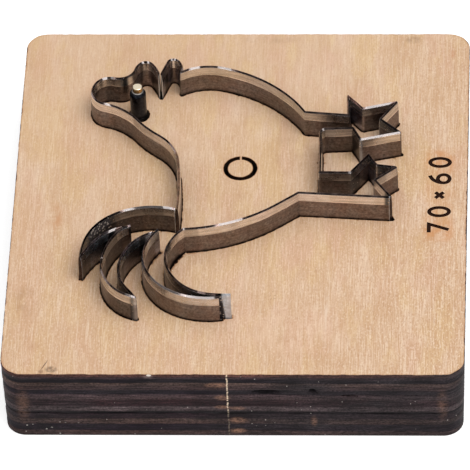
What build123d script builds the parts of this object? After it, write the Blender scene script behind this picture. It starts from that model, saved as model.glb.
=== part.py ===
"""Steel-rule cutting die for a rooster figure: a laser-cut plywood board, bent steel rules and an eye punch.

Millimetres. The origin is the centre of the board's underside, Z is up, X runs along the board's
shorter side and Y along its longer side. The cutting edges point up.
"""

import os

from build123d import *

# Plywood board
board_width = 88.6
board_depth = 95.4
board_thickness = 17.0
board_corner_radius = 4.3
board_wall_lean = 1.2  # degrees, the laser's cut closes in towards the underside

# Steel rule, sharpened on both sides
rule_thickness = 0.71
rule_height = 23.3
bevel_height = 2.15
hone_height = 0.36
hone_width = 0.48
edge_land = 0.05
joint_gap = 0.02
cut_breadth = 2.4
square_reach = 1.5

# Slots that hold the rules, and the bridges that hold the wood inside the figure
slot_clearance = 0.1
bridge_length = 5.0
bridge_height = 11.0
notch_clearance = 0.3

# Ring slot beside the neck
ring_centre = (-0.3, 8.9)
ring_core_diameter = 5.0
ring_slot_width = 0.8
ring_bridge_width = 0.5

# Eye punch with its spring ejector
eye_centre = (-20.9, 24.2)
punch_body_diameter = 4.0
punch_shoulder_rise = 0.2
punch_nose_diameter = 3.2
punch_nose_rise = 6.6
punch_seat_clearance = 0.05
punch_bevel_height = 0.7
punch_edge_land = 0.05
chamber_diameter = 2.9
chamber_roof = 1.0
plug_height = 1.6
plug_recess = 0.4
plug_clearance = 0.01
pin_diameter = 1.87
pin_clearance = 0.05
pin_rise = 1.0
pin_dome = 0.12
collar_diameter = 2.7
collar_height = 0.8
spring_wire = 0.3
spring_diameter = 2.5
spring_turns = 9
spring_end_gap = 0.02
collar_gap = 0.02

# Size mark engraved in the top veneer
mark_edge_distance = 5.5
mark_offset = 1.4
mark_height = 4.4
mark_pitch = 4.6
mark_stroke = 0.55
mark_depth = 0.25
mark_width = 2.3
mark_signs = "70x60"

# Corners of the figure, on the rules' centre lines
tail_root = (-11.8, -9.0)
beak_valley = (-16.7, 29.0)
throat = (-12.6, 30.0)
chest_end = (12.3, 18.6)
hip = (20.8, 17.7)
spur_tip = (31.1, 12.8)
knee_tip = (25.0, 6.5)
claw_tip = (29.7, -5.4)
thigh = (11.6, -4.1)
rump = (-10.3, -14.2)
middle_feather_tip = (-18.8, -32.8)
top_feather_tip = (-29.9, -22.0)

# A rule's route is a list of runs, each a list of points on its centre line
routes = {
    "back_rule": [
        [tail_root, (-12.1, 4.7), (-16.1, 11.9), (-20.7, 16.5), (-24.3, 19.7), (-27.2, 20.9),
         (-29.2, 22.3), (-29.4, 26.7), (-25.6, 28.3), (-21.8, 30.6), (-21.0, 32.3),
         (-18.3, 32.3), (-17.3, 30.6), beak_valley],
    ],
    "chest_rule": [
        [beak_valley, (-15.4, 32.9), (-14.0, 33.7), (-13.0, 33.0), throat],
        [throat, (-4.5, 31.3), (0.8, 29.3), (7.2, 24.9), chest_end],
        [chest_end, hip],
    ],
    "upper_foot_rule": [
        [hip, (20.6, 23.2), (23.6, 19.6), (30.2, 21.4), (27.1, 16.6), spur_tip],
    ],
    "leg_gap_rule": [
        [spur_tip, (23.4, 10.8), (21.8, 14.1), (16.2, 13.8), (15.4, 13.1), (15.6, 1.6), (21.5, 1.5), knee_tip],
    ],
    "lower_foot_rule": [
        [knee_tip, (26.7, 3.6), (30.4, 3.0), (26.4, -0.5), claw_tip],
    ],
    "belly_rule": [
        [claw_tip, thigh],
        [thigh, (7.5, -7.4), rump],
        [rump, (-13.2, -23.8), (-10.6, -28.7), (-4.6, -31.9), (-0.5, -32.1)],
    ],
    "low_feather_rule": [
        [(-15.2, -14.4), (-17.1, -17.6), (-16.5, -26.4), (-11.7, -31.3), (-8.4, -32.6), (-2.4, -32.8)],
    ],
    "middle_feather_rule": [
        [(-15.7, -15.0), (-19.8, -17.7), (-22.1, -22.3), (-20.3, -30.6), middle_feather_tip],
        [middle_feather_tip, (-23.8, -29.3), (-25.7, -22.4), (-22.9, -15.0), (-20.6, -13.3)],
    ],
    "top_feather_inner_rule": [
        [(-21.2, -13.5), (-26.4, -16.4), (-28.9, -19.8), top_feather_tip],
    ],
    "top_feather_outer_rule": [
        [top_feather_tip, (-29.2, -16.9), (-24.5, -10.5), (-15.5, -8.1), (-11.8, -8.8)],
    ],
}

# How each run is bent: None for straight stretches with corners, or the angle at its start, in
# degrees from X, for arcs that run smoothly from point to point
start_angles = {
    "back_rule": [87],
    "chest_rule": [72, 33, None],
    "upper_foot_rule": [None],
    "leg_gap_rule": [None],
    "lower_foot_rule": [None],
    "belly_rule": [None, 219, 222],
    "low_feather_rule": [229],
    "middle_feather_rule": [196, 164],
    "top_feather_inner_rule": [192],
    "top_feather_outer_rule": [91],
}

# Where bridges cross a rule, as shares of its length
bridges = {
    "back_rule": [0.1, 0.4],
    "chest_rule": [0.4, 0.62],
    "upper_foot_rule": [],
    "leg_gap_rule": [0.09, 0.56],
    "lower_foot_rule": [],
    "belly_rule": [0.13, 0.4],
    "low_feather_rule": [0.45],
    "middle_feather_rule": [0.3, 0.72],
    "top_feather_inner_rule": [],
    "top_feather_outer_rule": [0.78],
}

# Rule ends that meet in a mitre, as rule and end (0 start, 1 finish) twice, and how far it is ground
mitres = [
    ("back_rule", 1, "chest_rule", 0, 5.0),
    ("chest_rule", 1, "upper_foot_rule", 0, 3.0),
    ("upper_foot_rule", 1, "leg_gap_rule", 0, 4.0),
    ("leg_gap_rule", 1, "lower_foot_rule", 0, 4.0),
    ("lower_foot_rule", 1, "belly_rule", 0, 4.0),
    ("top_feather_inner_rule", 1, "top_feather_outer_rule", 0, 3.5),
]

# Rules whose end is ground to fit the face of another rule
butts = {
    "middle_feather_rule": "low_feather_rule",
    "top_feather_inner_rule": "middle_feather_rule",
    "top_feather_outer_rule": "back_rule",
}

# Rule ends that stand free and are cut square
square_ends = [
    ("back_rule", 0),
    ("belly_rule", 1),
    ("low_feather_rule", 0),
    ("low_feather_rule", 1),
    ("middle_feather_rule", 1),
]

os.makedirs("parts", exist_ok=True)


def route_wire(name):
    """The centre line of a rule, from its runs."""
    with BuildLine() as line:
        for start_angle, points in zip(start_angles[name], routes[name]):
            if start_angle is None:
                Polyline(*points)
            else:
                tangent = Vector(1, 0).rotate(Axis.Z, start_angle)
                for start, finish in zip(points, points[1:]):
                    arc = TangentArc(start, finish, tangent=tangent)
                    tangent = arc % 1
    return line.line.wires()[0]


wires = {name: route_wire(name) for name in routes}


def strip(name, half_width):
    """The face that a strip along a rule's route covers, seen from above."""
    with BuildSketch() as face:
        with BuildLine():
            add(wires[name])
            offset(amount=half_width, kind=Kind.ARC)
        make_face()
    return face.sketch


def bridge_planes(name):
    """A plane on the underside at each bridge, with its X along the rule."""
    return [Plane(wires[name] @ share, x_dir=wires[name] % share, z_dir=(0, 0, 1)) for share in bridges[name]]


def leaving(name, end):
    """The unit vector along a rule, away from one of its ends."""
    return wires[name] % 0 if end == 0 else -(wires[name] % 1)


def cut_plane(point, waste):
    """A plane through a point of the underside, with its Y towards the waste to be ground off."""
    return Plane(point, x_dir=waste.cross(Vector(0, 0, 1)), z_dir=(0, 0, 1))


def mitre_plane(name, end, other, other_end):
    """The cut that shares a corner evenly between two rules."""
    own, far = leaving(name, end), leaving(other, other_end)
    waste = (far - own).normalized()
    return cut_plane(wires[name] @ end - waste * (joint_gap / 2), waste)


def end_cuts(name):
    """Each cut on a rule's ends: its plane and how far it reaches each way."""
    cuts = []
    for first, first_end, second, second_end, reach in mitres:
        if name == first:
            cuts.append((mitre_plane(first, first_end, second, second_end), reach))
        if name == second:
            cuts.append((mitre_plane(second, second_end, first, first_end), reach))
    for free, end in square_ends:
        if name == free:
            cuts.append((cut_plane(wires[name] @ end, -leaving(name, end)), square_reach))
    return cuts


def bent_rule(name):
    """A rule bent along its route: flat body, ground bevel, honed edge, bridge notches and cut ends."""
    body_height = rule_height - bevel_height
    sections = [
        (body_height, rule_thickness),
        (rule_height - hone_height, hone_width),
        (rule_height, edge_land),
    ]
    with BuildPart() as rule:
        with BuildSketch():
            add(strip(name, rule_thickness / 2))
        extrude(amount=body_height)
        for section_height, section_width in sections:
            with BuildSketch(Plane.XY.offset(section_height)):
                add(strip(name, section_width / 2))
        loft(ruled=True)
        for plane in bridge_planes(name):
            with BuildSketch(plane):
                Rectangle(bridge_length + 2 * notch_clearance, cut_breadth)
            extrude(amount=bridge_height + notch_clearance, mode=Mode.SUBTRACT)
        for plane, reach in end_cuts(name):
            with BuildSketch(plane):
                Rectangle(2 * reach, cut_breadth, align=(Align.CENTER, Align.MIN))
            extrude(amount=rule_height, mode=Mode.SUBTRACT)
        if name in butts:
            with BuildSketch():
                add(strip(butts[name], rule_thickness / 2 + joint_gap))
            extrude(amount=rule_height, mode=Mode.SUBTRACT)
    return rule.part


def rule_slot(name):
    """The laser's cut for one rule, broken at its bridges."""
    with BuildPart() as slot:
        with BuildSketch():
            add(strip(name, rule_thickness / 2 + slot_clearance))
        extrude(amount=board_thickness)
        for plane in bridge_planes(name):
            with BuildSketch(plane):
                Rectangle(bridge_length, cut_breadth)
            extrude(amount=bridge_height, mode=Mode.SUBTRACT)
    return slot.part


def mark_sign(sign):
    """One sign of the size mark as single strokes, centred on the origin."""
    half_width = mark_width / 2
    half_height = (mark_height - mark_stroke) / 2
    with BuildSketch() as shape:
        if sign == "7":
            with BuildLine():
                Polyline((-half_width, half_height), (half_width, half_height), (-half_width / 3, -half_height))
            trace(line_width=mark_stroke)
        elif sign == "0":
            Ellipse(half_width + mark_stroke / 2, half_height + mark_stroke / 2)
            Ellipse(half_width - mark_stroke / 2, half_height - mark_stroke / 2, mode=Mode.SUBTRACT)
        elif sign == "6":
            with Locations((0, half_width - half_height)):
                Circle(half_width + mark_stroke / 2)
                Circle(half_width - mark_stroke / 2, mode=Mode.SUBTRACT)
            with BuildLine():
                TangentArc((-half_width, half_width - half_height), (half_width * 0.8, half_height), tangent=(0, 1))
            trace(line_width=mark_stroke)
        else:
            for lean in (1, -1):
                with BuildLine():
                    Line((-half_width * 0.7, -half_width * 0.7 * lean), (half_width * 0.7, half_width * 0.7 * lean))
                trace(line_width=mark_stroke)
    return shape.sketch


# Plywood board: slots for the rules, ring slot, seat of the eye punch, size mark
eye_plane = Plane((*eye_centre, 0), x_dir=(1, 0, 0), z_dir=(0, 0, 1))
with BuildPart() as plywood_board:
    with BuildSketch(Plane.XY.offset(board_thickness)):
        RectangleRounded(board_width, board_depth, board_corner_radius)
    extrude(amount=-board_thickness, taper=board_wall_lean)
    for name in routes:
        add(rule_slot(name), mode=Mode.SUBTRACT)
    with BuildSketch():
        ring_radius = ring_core_diameter / 2 + ring_slot_width
        with Locations(ring_centre):
            Circle(ring_radius)
            Circle(ring_core_diameter / 2, mode=Mode.SUBTRACT)
            Rectangle(ring_bridge_width, 2 * ring_radius, align=(Align.CENTER, Align.MIN), mode=Mode.SUBTRACT)
    extrude(amount=board_thickness, mode=Mode.SUBTRACT)
    with BuildSketch(eye_plane):
        Circle(punch_body_diameter / 2 + punch_seat_clearance)
    extrude(amount=board_thickness, mode=Mode.SUBTRACT)
    mark_x = board_width / 2 - mark_edge_distance
    for place, sign in enumerate(mark_signs):
        mark_y = mark_offset + (place - (len(mark_signs) - 1) / 2) * mark_pitch
        with BuildSketch(Plane((mark_x, mark_y, board_thickness), x_dir=(0, 1, 0), z_dir=(0, 0, 1))):
            add(mark_sign(sign))
        extrude(amount=-mark_depth, mode=Mode.SUBTRACT)
plywood_board.part.label = "plywood_board"
export_step(plywood_board.part, "parts/plywood_board.step")

# Steel rules
for name in routes:
    rule_part = bent_rule(name)
    rule_part.label = name
    export_step(rule_part, f"parts/{name}.step")

# Eye punch: a turned tube with a wide body in the board and a sharpened nose
nose_radius = punch_nose_diameter / 2
body_radius = punch_body_diameter / 2
bore_radius = pin_diameter / 2 + pin_clearance
chamber_radius = chamber_diameter / 2
shoulder_z = board_thickness + punch_shoulder_rise
chamber_z = shoulder_z - chamber_roof
rim_z = board_thickness + punch_nose_rise
eye_section = Plane((*eye_centre, 0), x_dir=(1, 0, 0), z_dir=(0, -1, 0))
with BuildPart() as eye_punch:
    with BuildSketch(eye_section):
        with BuildLine():
            Polyline(
                (chamber_radius, 0),
                (body_radius, 0),
                (body_radius, shoulder_z),
                (nose_radius, shoulder_z),
                (nose_radius, rim_z - punch_bevel_height),
                (bore_radius + punch_edge_land, rim_z),
                (bore_radius, rim_z),
                (bore_radius, chamber_z),
                (chamber_radius, chamber_z),
                close=True,
            )
        make_face()
    revolve(axis=Axis((*eye_centre, 0), (0, 0, 1)))
eye_punch.part.label = "eye_punch"
export_step(eye_punch.part, "parts/eye_punch.step")

# Plug that closes the punch's spring chamber
plug_top = plug_recess + plug_height
with BuildPart() as punch_plug:
    with BuildSketch(eye_plane.offset(plug_recess)):
        Circle(chamber_radius - plug_clearance)
    extrude(amount=plug_height)
punch_plug.part.label = "punch_plug"
export_step(punch_plug.part, "parts/punch_plug.step")

# Ejector pin: its collar stops it under the chamber's roof
collar_top = chamber_z - collar_gap
pin_top = rim_z + pin_rise
with BuildPart() as ejector_pin:
    with BuildSketch(eye_plane.offset(collar_top - collar_height)):
        Circle(collar_diameter / 2)
    extrude(amount=collar_height)
    with BuildSketch(eye_plane.offset(collar_top)):
        Circle(pin_diameter / 2)
    extrude(amount=pin_top - collar_top)
    chamfer(ejector_pin.edges().sort_by(Axis.Z)[-1], length=pin_dome)
ejector_pin.part.label = "ejector_pin"
export_step(ejector_pin.part, "parts/ejector_pin.step")

# Ejector spring between the plug and the collar
spring_low = plug_top + spring_wire / 2 + spring_end_gap
spring_high = collar_top - collar_height - spring_wire / 2 - spring_end_gap
spring_radius = (spring_diameter - spring_wire) / 2
with BuildPart() as ejector_spring:
    with BuildLine():
        coil = Helix(
            pitch=(spring_high - spring_low) / spring_turns,
            height=spring_high - spring_low,
            radius=spring_radius,
            center=(*eye_centre, spring_low),
        )
    with BuildSketch(Plane(coil @ 0, z_dir=coil % 0)):
        Circle(spring_wire / 2)
    sweep(is_frenet=True)
ejector_spring.part.label = "ejector_spring"
export_step(ejector_spring.part, "parts/ejector_spring.step")
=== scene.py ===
"""Steel-rule cutting die for a rooster figure: a laser-cut plywood board with bent steel rules and an eye punch.

Sizes are written in millimetres and turned into metres where a mesh, a lamp or the camera is made. Inside
the finishes, places and levels are in metres.
"""

import math

import bmesh
import bpy
import numpy as np
from mathutils import Matrix, Vector
from mathutils.geometry import delaunay_2d_cdt


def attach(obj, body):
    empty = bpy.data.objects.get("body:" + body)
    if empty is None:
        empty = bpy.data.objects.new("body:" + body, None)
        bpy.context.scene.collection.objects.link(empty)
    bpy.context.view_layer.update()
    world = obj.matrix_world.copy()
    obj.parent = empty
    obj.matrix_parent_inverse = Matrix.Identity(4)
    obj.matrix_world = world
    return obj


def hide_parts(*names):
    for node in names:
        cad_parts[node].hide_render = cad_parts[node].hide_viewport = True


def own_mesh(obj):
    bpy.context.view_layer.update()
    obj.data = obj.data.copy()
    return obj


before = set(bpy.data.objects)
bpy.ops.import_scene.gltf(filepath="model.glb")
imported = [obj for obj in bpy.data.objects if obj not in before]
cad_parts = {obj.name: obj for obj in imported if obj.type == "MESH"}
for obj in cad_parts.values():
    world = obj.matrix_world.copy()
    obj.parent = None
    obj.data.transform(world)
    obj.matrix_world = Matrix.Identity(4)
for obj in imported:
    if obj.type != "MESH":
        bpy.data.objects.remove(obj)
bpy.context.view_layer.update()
scene = bpy.context.scene
scene.view_settings.view_transform = "Standard"
MM = 0.001


# Studio
# The die lies on a white table and is seen from above its front side with a long lens. A wide soft
# lamp hangs over it to the right, and two low white cards stand left and right of the camera.
def direction(azimuth, elevation):
    """The direction from the die to a place round it. Azimuth turns from the front to the right, in degrees."""
    turn, rise = math.radians(azimuth), math.radians(elevation)
    return Vector((math.sin(turn) * math.cos(rise), -math.cos(turn) * math.cos(rise), math.sin(rise)))


view_azimuth, view_elevation, view_roll = 4.0354, 44.4208, -2.7765
view_distance = 1322.97
view_target = Vector((-1.3186, -0.5633, 8))

back, level = direction(view_azimuth, view_elevation), direction(view_azimuth + 90, 0)
camera = bpy.data.objects.new("camera", bpy.data.cameras.new("camera"))
camera.data.lens, camera.data.sensor_width = 517.34, 36
camera.data.dof.use_dof = False
camera.matrix_world = (
    Matrix.Translation((view_target + back * view_distance) * MM)
    @ Matrix((level, back.cross(level), back)).transposed().to_4x4()
    @ Matrix.Rotation(math.radians(view_roll), 4, "Z")
)
scene.collection.objects.link(camera)
scene.camera = camera


def soft_lamp(name, azimuth, elevation, distance, width, height, power):
    """A rectangular lamp that faces the die, with sizes in metres and its power in watts."""
    towards = direction(azimuth, elevation)
    lamp = bpy.data.objects.new(name, bpy.data.lights.new(name, "AREA"))
    lamp.data.shape = "RECTANGLE"
    lamp.data.size, lamp.data.size_y = width, height
    lamp.data.energy = power
    lamp.rotation_mode = "QUATERNION"
    lamp.rotation_quaternion = towards.to_track_quat("Z", "Y")
    lamp.location = towards * distance
    scene.collection.objects.link(lamp)


soft_lamp("overhead_lamp", 55, 66, 1.1, 0.6, 0.6, 4.6)
soft_lamp("right_card", 30, 15, 1.2, 0.36, 0.17, 0.7)
soft_lamp("left_card", -31, 15, 1.2, 0.3, 0.17, 0.5)


class Wire:
    """What a node gives. Adding to it, multiplying it and the like place further nodes."""

    def __init__(self, socket):
        self.socket, self.tree = socket, socket.id_data

    def __add__(self, other):
        return math_of("ADD", self, other)

    def __sub__(self, other):
        return math_of("SUBTRACT", self, other)

    def __mul__(self, other):
        return math_of("MULTIPLY", self, other)

    def __abs__(self):
        return math_of("ABSOLUTE", self)


def add_node(tree, kind, values=(), give=(), **settings):
    """Adds a node, links each wire among the values to its input and sets the others, and gives wires."""
    made = tree.nodes.new(kind)
    for key, value in settings.items():
        setattr(made, key, value)
    for key, value in dict(values).items():
        if isinstance(value, Wire):
            tree.links.new(value.socket, made.inputs[key])
        else:
            made.inputs[key].default_value = value
    wires = [Wire(made.outputs[name]) for name in (give if isinstance(give, tuple) else [give])]
    return wires if isinstance(give, tuple) else wires[0]


def math_of(operation, *values, **settings):
    """One sum, product or other step on numbers, the first of which is a wire."""
    return add_node(values[0].tree, "ShaderNodeMath", dict(enumerate(values)), 0, operation=operation, **settings)


def linear(colour):
    """A grey or a display colour from 0 to 255 as a linear colour, by the sRGB curve. Others stay as they are."""
    if isinstance(colour, (int, float)):
        return (colour, colour, colour, 1)
    if isinstance(colour, Wire) or len(colour) == 4:
        return colour
    return (*(((value / 255 + 0.055) / 1.055) ** 2.4 for value in colour), 1)


def ramp_of(value, stops):
    """A colour that runs through stops, each a value from 0 to 1 and a colour."""
    made = value.tree.nodes.new("ShaderNodeValToRGB")
    value.tree.links.new(value.socket, made.inputs["Fac"])
    elements = made.color_ramp.elements
    elements.remove(elements[1])
    for number, (place, colour) in enumerate(stops):
        element = elements.new(place) if number else elements[0]
        element.position, element.color = place, linear(colour)
    return Wire(made.outputs["Color"])


def emptied(holder):
    """The node tree of a material or a world, with no nodes in it."""
    holder.use_nodes = True
    holder.node_tree.nodes.clear()
    return holder.node_tree


scene.world = bpy.data.worlds.new("studio")
sky = emptied(scene.world)
sky_place = add_node(sky, "ShaderNodeTexCoord", give="Generated")
sky_height = add_node(sky, "ShaderNodeSeparateXYZ", {"Vector": sky_place}, "Z")
sky_grey = ramp_of(sky_height, [(0, 0.1), (0.4, 0.28), (0.75, 0.88)])
sky_light = add_node(sky, "ShaderNodeBackground", {"Color": sky_grey, "Strength": 1}, "Background")
add_node(sky, "ShaderNodeOutputWorld", {"Surface": sky_light})

floor_half = 1.5
floor_mesh = bpy.data.meshes.new("table")
floor_mesh.from_pydata(
    [(x * floor_half, y * floor_half, 0) for x, y in ((-1, -1), (1, -1), (1, 1), (-1, 1))], [], [(0, 1, 2, 3)],
)
table = bpy.data.objects.new("table", floor_mesh)
table.location.z = -0.05 * MM
scene.collection.objects.link(table)
white = bpy.data.materials.new("white_table")
tree = emptied(white)
camera_ray, glossy_ray = add_node(tree, "ShaderNodeLightPath", give=("Is Camera Ray", "Is Glossy Ray"))
lift = math_of("MAXIMUM", camera_ray, glossy_ray) * 0.6
glow = add_node(tree, "ShaderNodeEmission", {"Color": linear(1), "Strength": lift}, "Emission")
matt = add_node(tree, "ShaderNodeBsdfDiffuse", {"Color": linear(0.82)}, "BSDF")
both = add_node(tree, "ShaderNodeAddShader", {0: matt, 1: glow}, "Shader")
add_node(tree, "ShaderNodeOutputMaterial", {"Surface": both})
floor_mesh.materials.append(white)


# Plywood board
# Eleven thin plies, hot-pressed and glued crosswise, cut to size by laser. The cut left its sides burnt
# brown and black, and its slots, ring and size mark charred. The pale top veneer's grain runs front to back.

# Each rule's route in stretches, with the angle at the start of smooth arcs through the places, or None where
# straight lines join them with sharp corners
routes = {
    "back_rule": [
        (87, [
            (-11.8, -9), (-12.1, 4.7), (-16.1, 11.9), (-20.7, 16.5), (-24.3, 19.7), (-27.2, 20.9), (-29.2, 22.3),
            (-29.4, 26.7), (-25.6, 28.3), (-21.8, 30.6), (-21, 32.3), (-18.3, 32.3), (-17.3, 30.6), (-16.7, 29),
        ]),
    ],
    "chest_rule": [
        (72, [(-16.7, 29), (-15.4, 32.9), (-14, 33.7), (-13, 33), (-12.6, 30)]),
        (33, [(-12.6, 30), (-4.5, 31.3), (0.8, 29.3), (7.2, 24.9), (12.3, 18.6)]),
        (None, [(12.3, 18.6), (20.8, 17.7)]),
    ],
    "upper_foot_rule": [
        (None, [(20.8, 17.7), (20.6, 23.2), (23.6, 19.6), (30.2, 21.4), (27.1, 16.6), (31.1, 12.8)]),
    ],
    "leg_gap_rule": [
        (None, [
            (31.1, 12.8), (23.4, 10.8), (21.8, 14.1), (16.2, 13.8), (15.4, 13.1), (15.6, 1.6), (21.5, 1.5),
            (25, 6.5),
        ]),
    ],
    "lower_foot_rule": [
        (None, [(25, 6.5), (26.7, 3.6), (30.4, 3), (26.4, -0.5), (29.7, -5.4)]),
    ],
    "belly_rule": [
        (None, [(29.7, -5.4), (11.6, -4.1)]),
        (219, [(11.6, -4.1), (7.5, -7.4), (-10.3, -14.2)]),
        (222, [(-10.3, -14.2), (-13.2, -23.8), (-10.6, -28.7), (-4.6, -31.9), (-0.5, -32.1)]),
    ],
    "low_feather_rule": [
        (229, [(-15.2, -14.4), (-17.1, -17.6), (-16.5, -26.4), (-11.7, -31.3), (-8.4, -32.6), (-2.4, -32.8)]),
    ],
    "middle_feather_rule": [
        (196, [(-15.7, -15), (-19.8, -17.7), (-22.1, -22.3), (-20.3, -30.6), (-18.8, -32.8)]),
        (164, [(-18.8, -32.8), (-23.8, -29.3), (-25.7, -22.4), (-22.9, -15), (-20.6, -13.3)]),
    ],
    "top_feather_inner_rule": [
        (192, [(-21.2, -13.5), (-26.4, -16.4), (-28.9, -19.8), (-29.9, -22)]),
    ],
    "top_feather_outer_rule": [
        (91, [(-29.9, -22), (-29.2, -16.9), (-24.5, -10.5), (-15.5, -8.1), (-11.8, -8.8)]),
    ],
}
# Where bridges of wood cross under the rules, as shares of the rule's length
bridges = {
    "back_rule": [0.1, 0.4], "chest_rule": [0.4, 0.62], "leg_gap_rule": [0.09, 0.56], "belly_rule": [0.13, 0.4],
    "low_feather_rule": [0.45], "middle_feather_rule": [0.3, 0.72], "top_feather_outer_rule": [0.78],
}
# Half sizes of the rules, slots, bridges and board, and levels above the underside
rule_half = 0.355
slot_half = rule_half + 0.1
bridge_half, bridge_reach = 2.5, 1.2
bridge_top, board_top = 11.0, 17.0
board_half, board_corner = (44.3, 47.7), 4.3
# The rim past these belongs to the sides or to the front, and all sides lean in towards the underside
side_from, front_from = 44, 47
board_lean = math.tan(math.radians(1.2))
# How far apart places lie round the rim, up the sides, inside the board, and along arcs and straight routes
rim_pitch, side_pitch, inner_pitch, arc_pitch, straight_pitch = 0.5, 0.34, 3.0, 0.35, 0.6
# The ring slot, the punch's seat and the size mark
ring_centre = np.array([-0.3, 8.9])
ring_inner, ring_outer, ring_bridge_half = 2.5, 3.3, 0.25
eye_centre = np.array([-20.9, 24.2])
eye_seat_radius = 2.05
mark_x, mark_y = 38.8, 1.4
mark_pitch, mark_stroke, mark_depth = 4.6, 0.78, 0.25
mark_half_width, mark_half_height = 1.15, 1.925
# Slot ends that stop flat, a little past the rule's end (0 start, 1 finish). The others are half-round
short_slot_ends = {
    ("belly_rule", 1): 0, ("low_feather_rule", 0): 0.06, ("low_feather_rule", 1): 0.25,
    ("middle_feather_rule", 1): 0.06, ("back_rule", 0): 0.12,
    ("top_feather_inner_rule", 1): 0.24, ("top_feather_outer_rule", 0): 0.24,
}


def travelled(places):
    """The length along a line of places up to each of them."""
    return np.concatenate([[0], np.cumsum(np.hypot(*np.diff(places, axis=0).T))])


def from_spot(places, spot):
    """The distance of each place from a spot."""
    return np.hypot(*(places - spot).T)


def unit(angle):
    """The unit vector at each angle."""
    return np.stack([np.cos(angle), np.sin(angle)], -1)


def left_of(vectors):
    """Each vector turned to its left."""
    return np.stack([-vectors[..., 1], vectors[..., 0]], -1)


def one_long(vectors):
    """Each vector brought to length 1."""
    return vectors / np.hypot(*vectors.T)[..., None]


def quads(here, ahead):
    """Faces between rows of point numbers and the rows that follow them, all closed round."""
    return np.stack([here, ahead, np.roll(ahead, -1, 1), np.roll(here, -1, 1)], -1).reshape(-1, 4)


def bend(points, heading, pitch):
    """Places, headings and travelled length along smooth arcs that pass through the given points.

    From one point to the next the arc turns by twice the angle between its heading and the chord,
    and its radius is the chord over twice the sine of that angle.
    """
    places, angles = [np.array(points[:1], float)], [np.array([heading])]
    for start, finish in zip(points, points[1:]):
        chord = np.subtract(finish, start)
        length = math.hypot(*chord)
        half_turn = (math.atan2(chord[1], chord[0]) - heading + math.pi) % (2 * math.pi) - math.pi
        share = np.linspace(0, 1, int(length / pitch) + 2)[1:]
        angle = heading + 2 * half_turn * share
        if abs(half_turn) < 1e-6:
            place = start + share[:, None] * chord
        else:
            radius = length / (2 * math.sin(half_turn))
            centre = start + radius * np.array([-math.sin(heading), math.cos(heading)])
            place = centre + radius * np.stack([np.sin(angle), -np.cos(angle)], 1)
        places.append(place)
        angles.append(angle)
        heading += 2 * half_turn
    places = np.vstack(places)
    return places, np.concatenate(angles), travelled(places)


def rule_runs(name):
    """A rule's route as a list of runs between sharp corners."""
    runs = []
    for heading, points in routes[name]:
        if heading is None:
            for start, finish in zip(points, points[1:]):
                angle = math.atan2(finish[1] - start[1], finish[0] - start[0])
                runs.append(bend([start, finish], angle, straight_pitch))
        else:
            runs.append(bend(points, math.radians(heading), arc_pitch))
    return runs


def beside(run, along, across):
    """The place at a distance along a run and across to its left. Past its ends the run goes on straight."""
    places, angles, lengths = run
    inside = np.clip(along, 0, lengths[-1])
    angle = np.interp(inside, lengths, angles)
    past = along - inside
    x = np.interp(inside, lengths, places[:, 0]) + past * np.cos(angle) - across * np.sin(angle)
    y = np.interp(inside, lengths, places[:, 1]) + past * np.sin(angle) + across * np.cos(angle)
    return np.stack([x, y], -1)


def side_lines(runs, across, start_reach=0, finish_reach=0, nose_reach=0.4, fan_steps=8):
    """Lines that follow a route at constant distances across from it, as an array of rows by lines.

    On a corner's outer side a line goes round the corner in a fan. On the inner side it stops short of
    the corner by the distance across times the tangent of half the turn, where both sides meet.
    Also gives each row's length along the route, and from 0 to 1 how near each place is to a corner's
    outer side.
    """
    across = np.asarray(across, float)
    turns = [
        (after[1][0] - before[1][-1] + math.pi) % (2 * math.pi) - math.pi
        for before, after in zip(runs, runs[1:])
    ]
    trims = [np.where(across * turn > 0, np.abs(across) * math.tan(abs(turn) / 2), 0) for turn in turns]
    rows, stations, corners = [], [], []
    before = 0
    for number, run in enumerate(runs):
        places, angles, lengths = run
        low = trims[number - 1] if number else -start_reach
        high = lengths[-1] + (finish_reach if number == len(runs) - 1 else -trims[number])
        along = low + (high - low) * (lengths / lengths[-1])[:, None]
        rows.append(beside(run, along, across))
        stations.append(before + lengths)
        fade = np.zeros(rows[-1].shape[:2])
        if number:
            near = 1 - lengths[:, None] / nose_reach
            fade = np.maximum(fade, near * (across * turns[number - 1] < 0))
        if number < len(runs) - 1:
            near = 1 - (lengths[-1] - lengths[:, None]) / nose_reach
            fade = np.maximum(fade, near * (across * turns[number] < 0))
        corners.append(fade)
        before += lengths[-1]
        if number < len(runs) - 1:
            share = np.arange(1, fan_steps) / fan_steps
            angle = angles[-1] + turns[number] * share[:, None]
            outer = places[-1] + across[:, None] * left_of(unit(angle))
            inner = beside(run, lengths[-1] - trims[number], across)
            rows.append(np.where((across * turns[number] > 0)[:, None], inner, outer))
            stations.append(np.full(len(share), before))
            corners.append(np.ones((len(share), 1)) * (across * turns[number] < 0))
    return np.concatenate(rows), np.concatenate(stations), np.concatenate(corners)


def from_line(points, line, chunk=4000):
    """Distance of each point from a line of many short steps, and the number of the nearest step."""
    start, step = line[:-1], np.diff(line, axis=0)
    square = (step ** 2).sum(1) + 1e-12
    far, nearest = np.empty(len(points)), np.empty(len(points), int)
    for low in range(0, len(points), chunk):
        part = points[low:low + chunk, None]
        share = np.clip(((part - start) * step).sum(2) / square, 0, 1)
        gap = np.sqrt(((part - start - share[..., None] * step) ** 2).sum(2))
        nearest[low:low + chunk] = gap.argmin(1)
        far[low:low + chunk] = gap.min(1)
    return far, nearest


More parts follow.
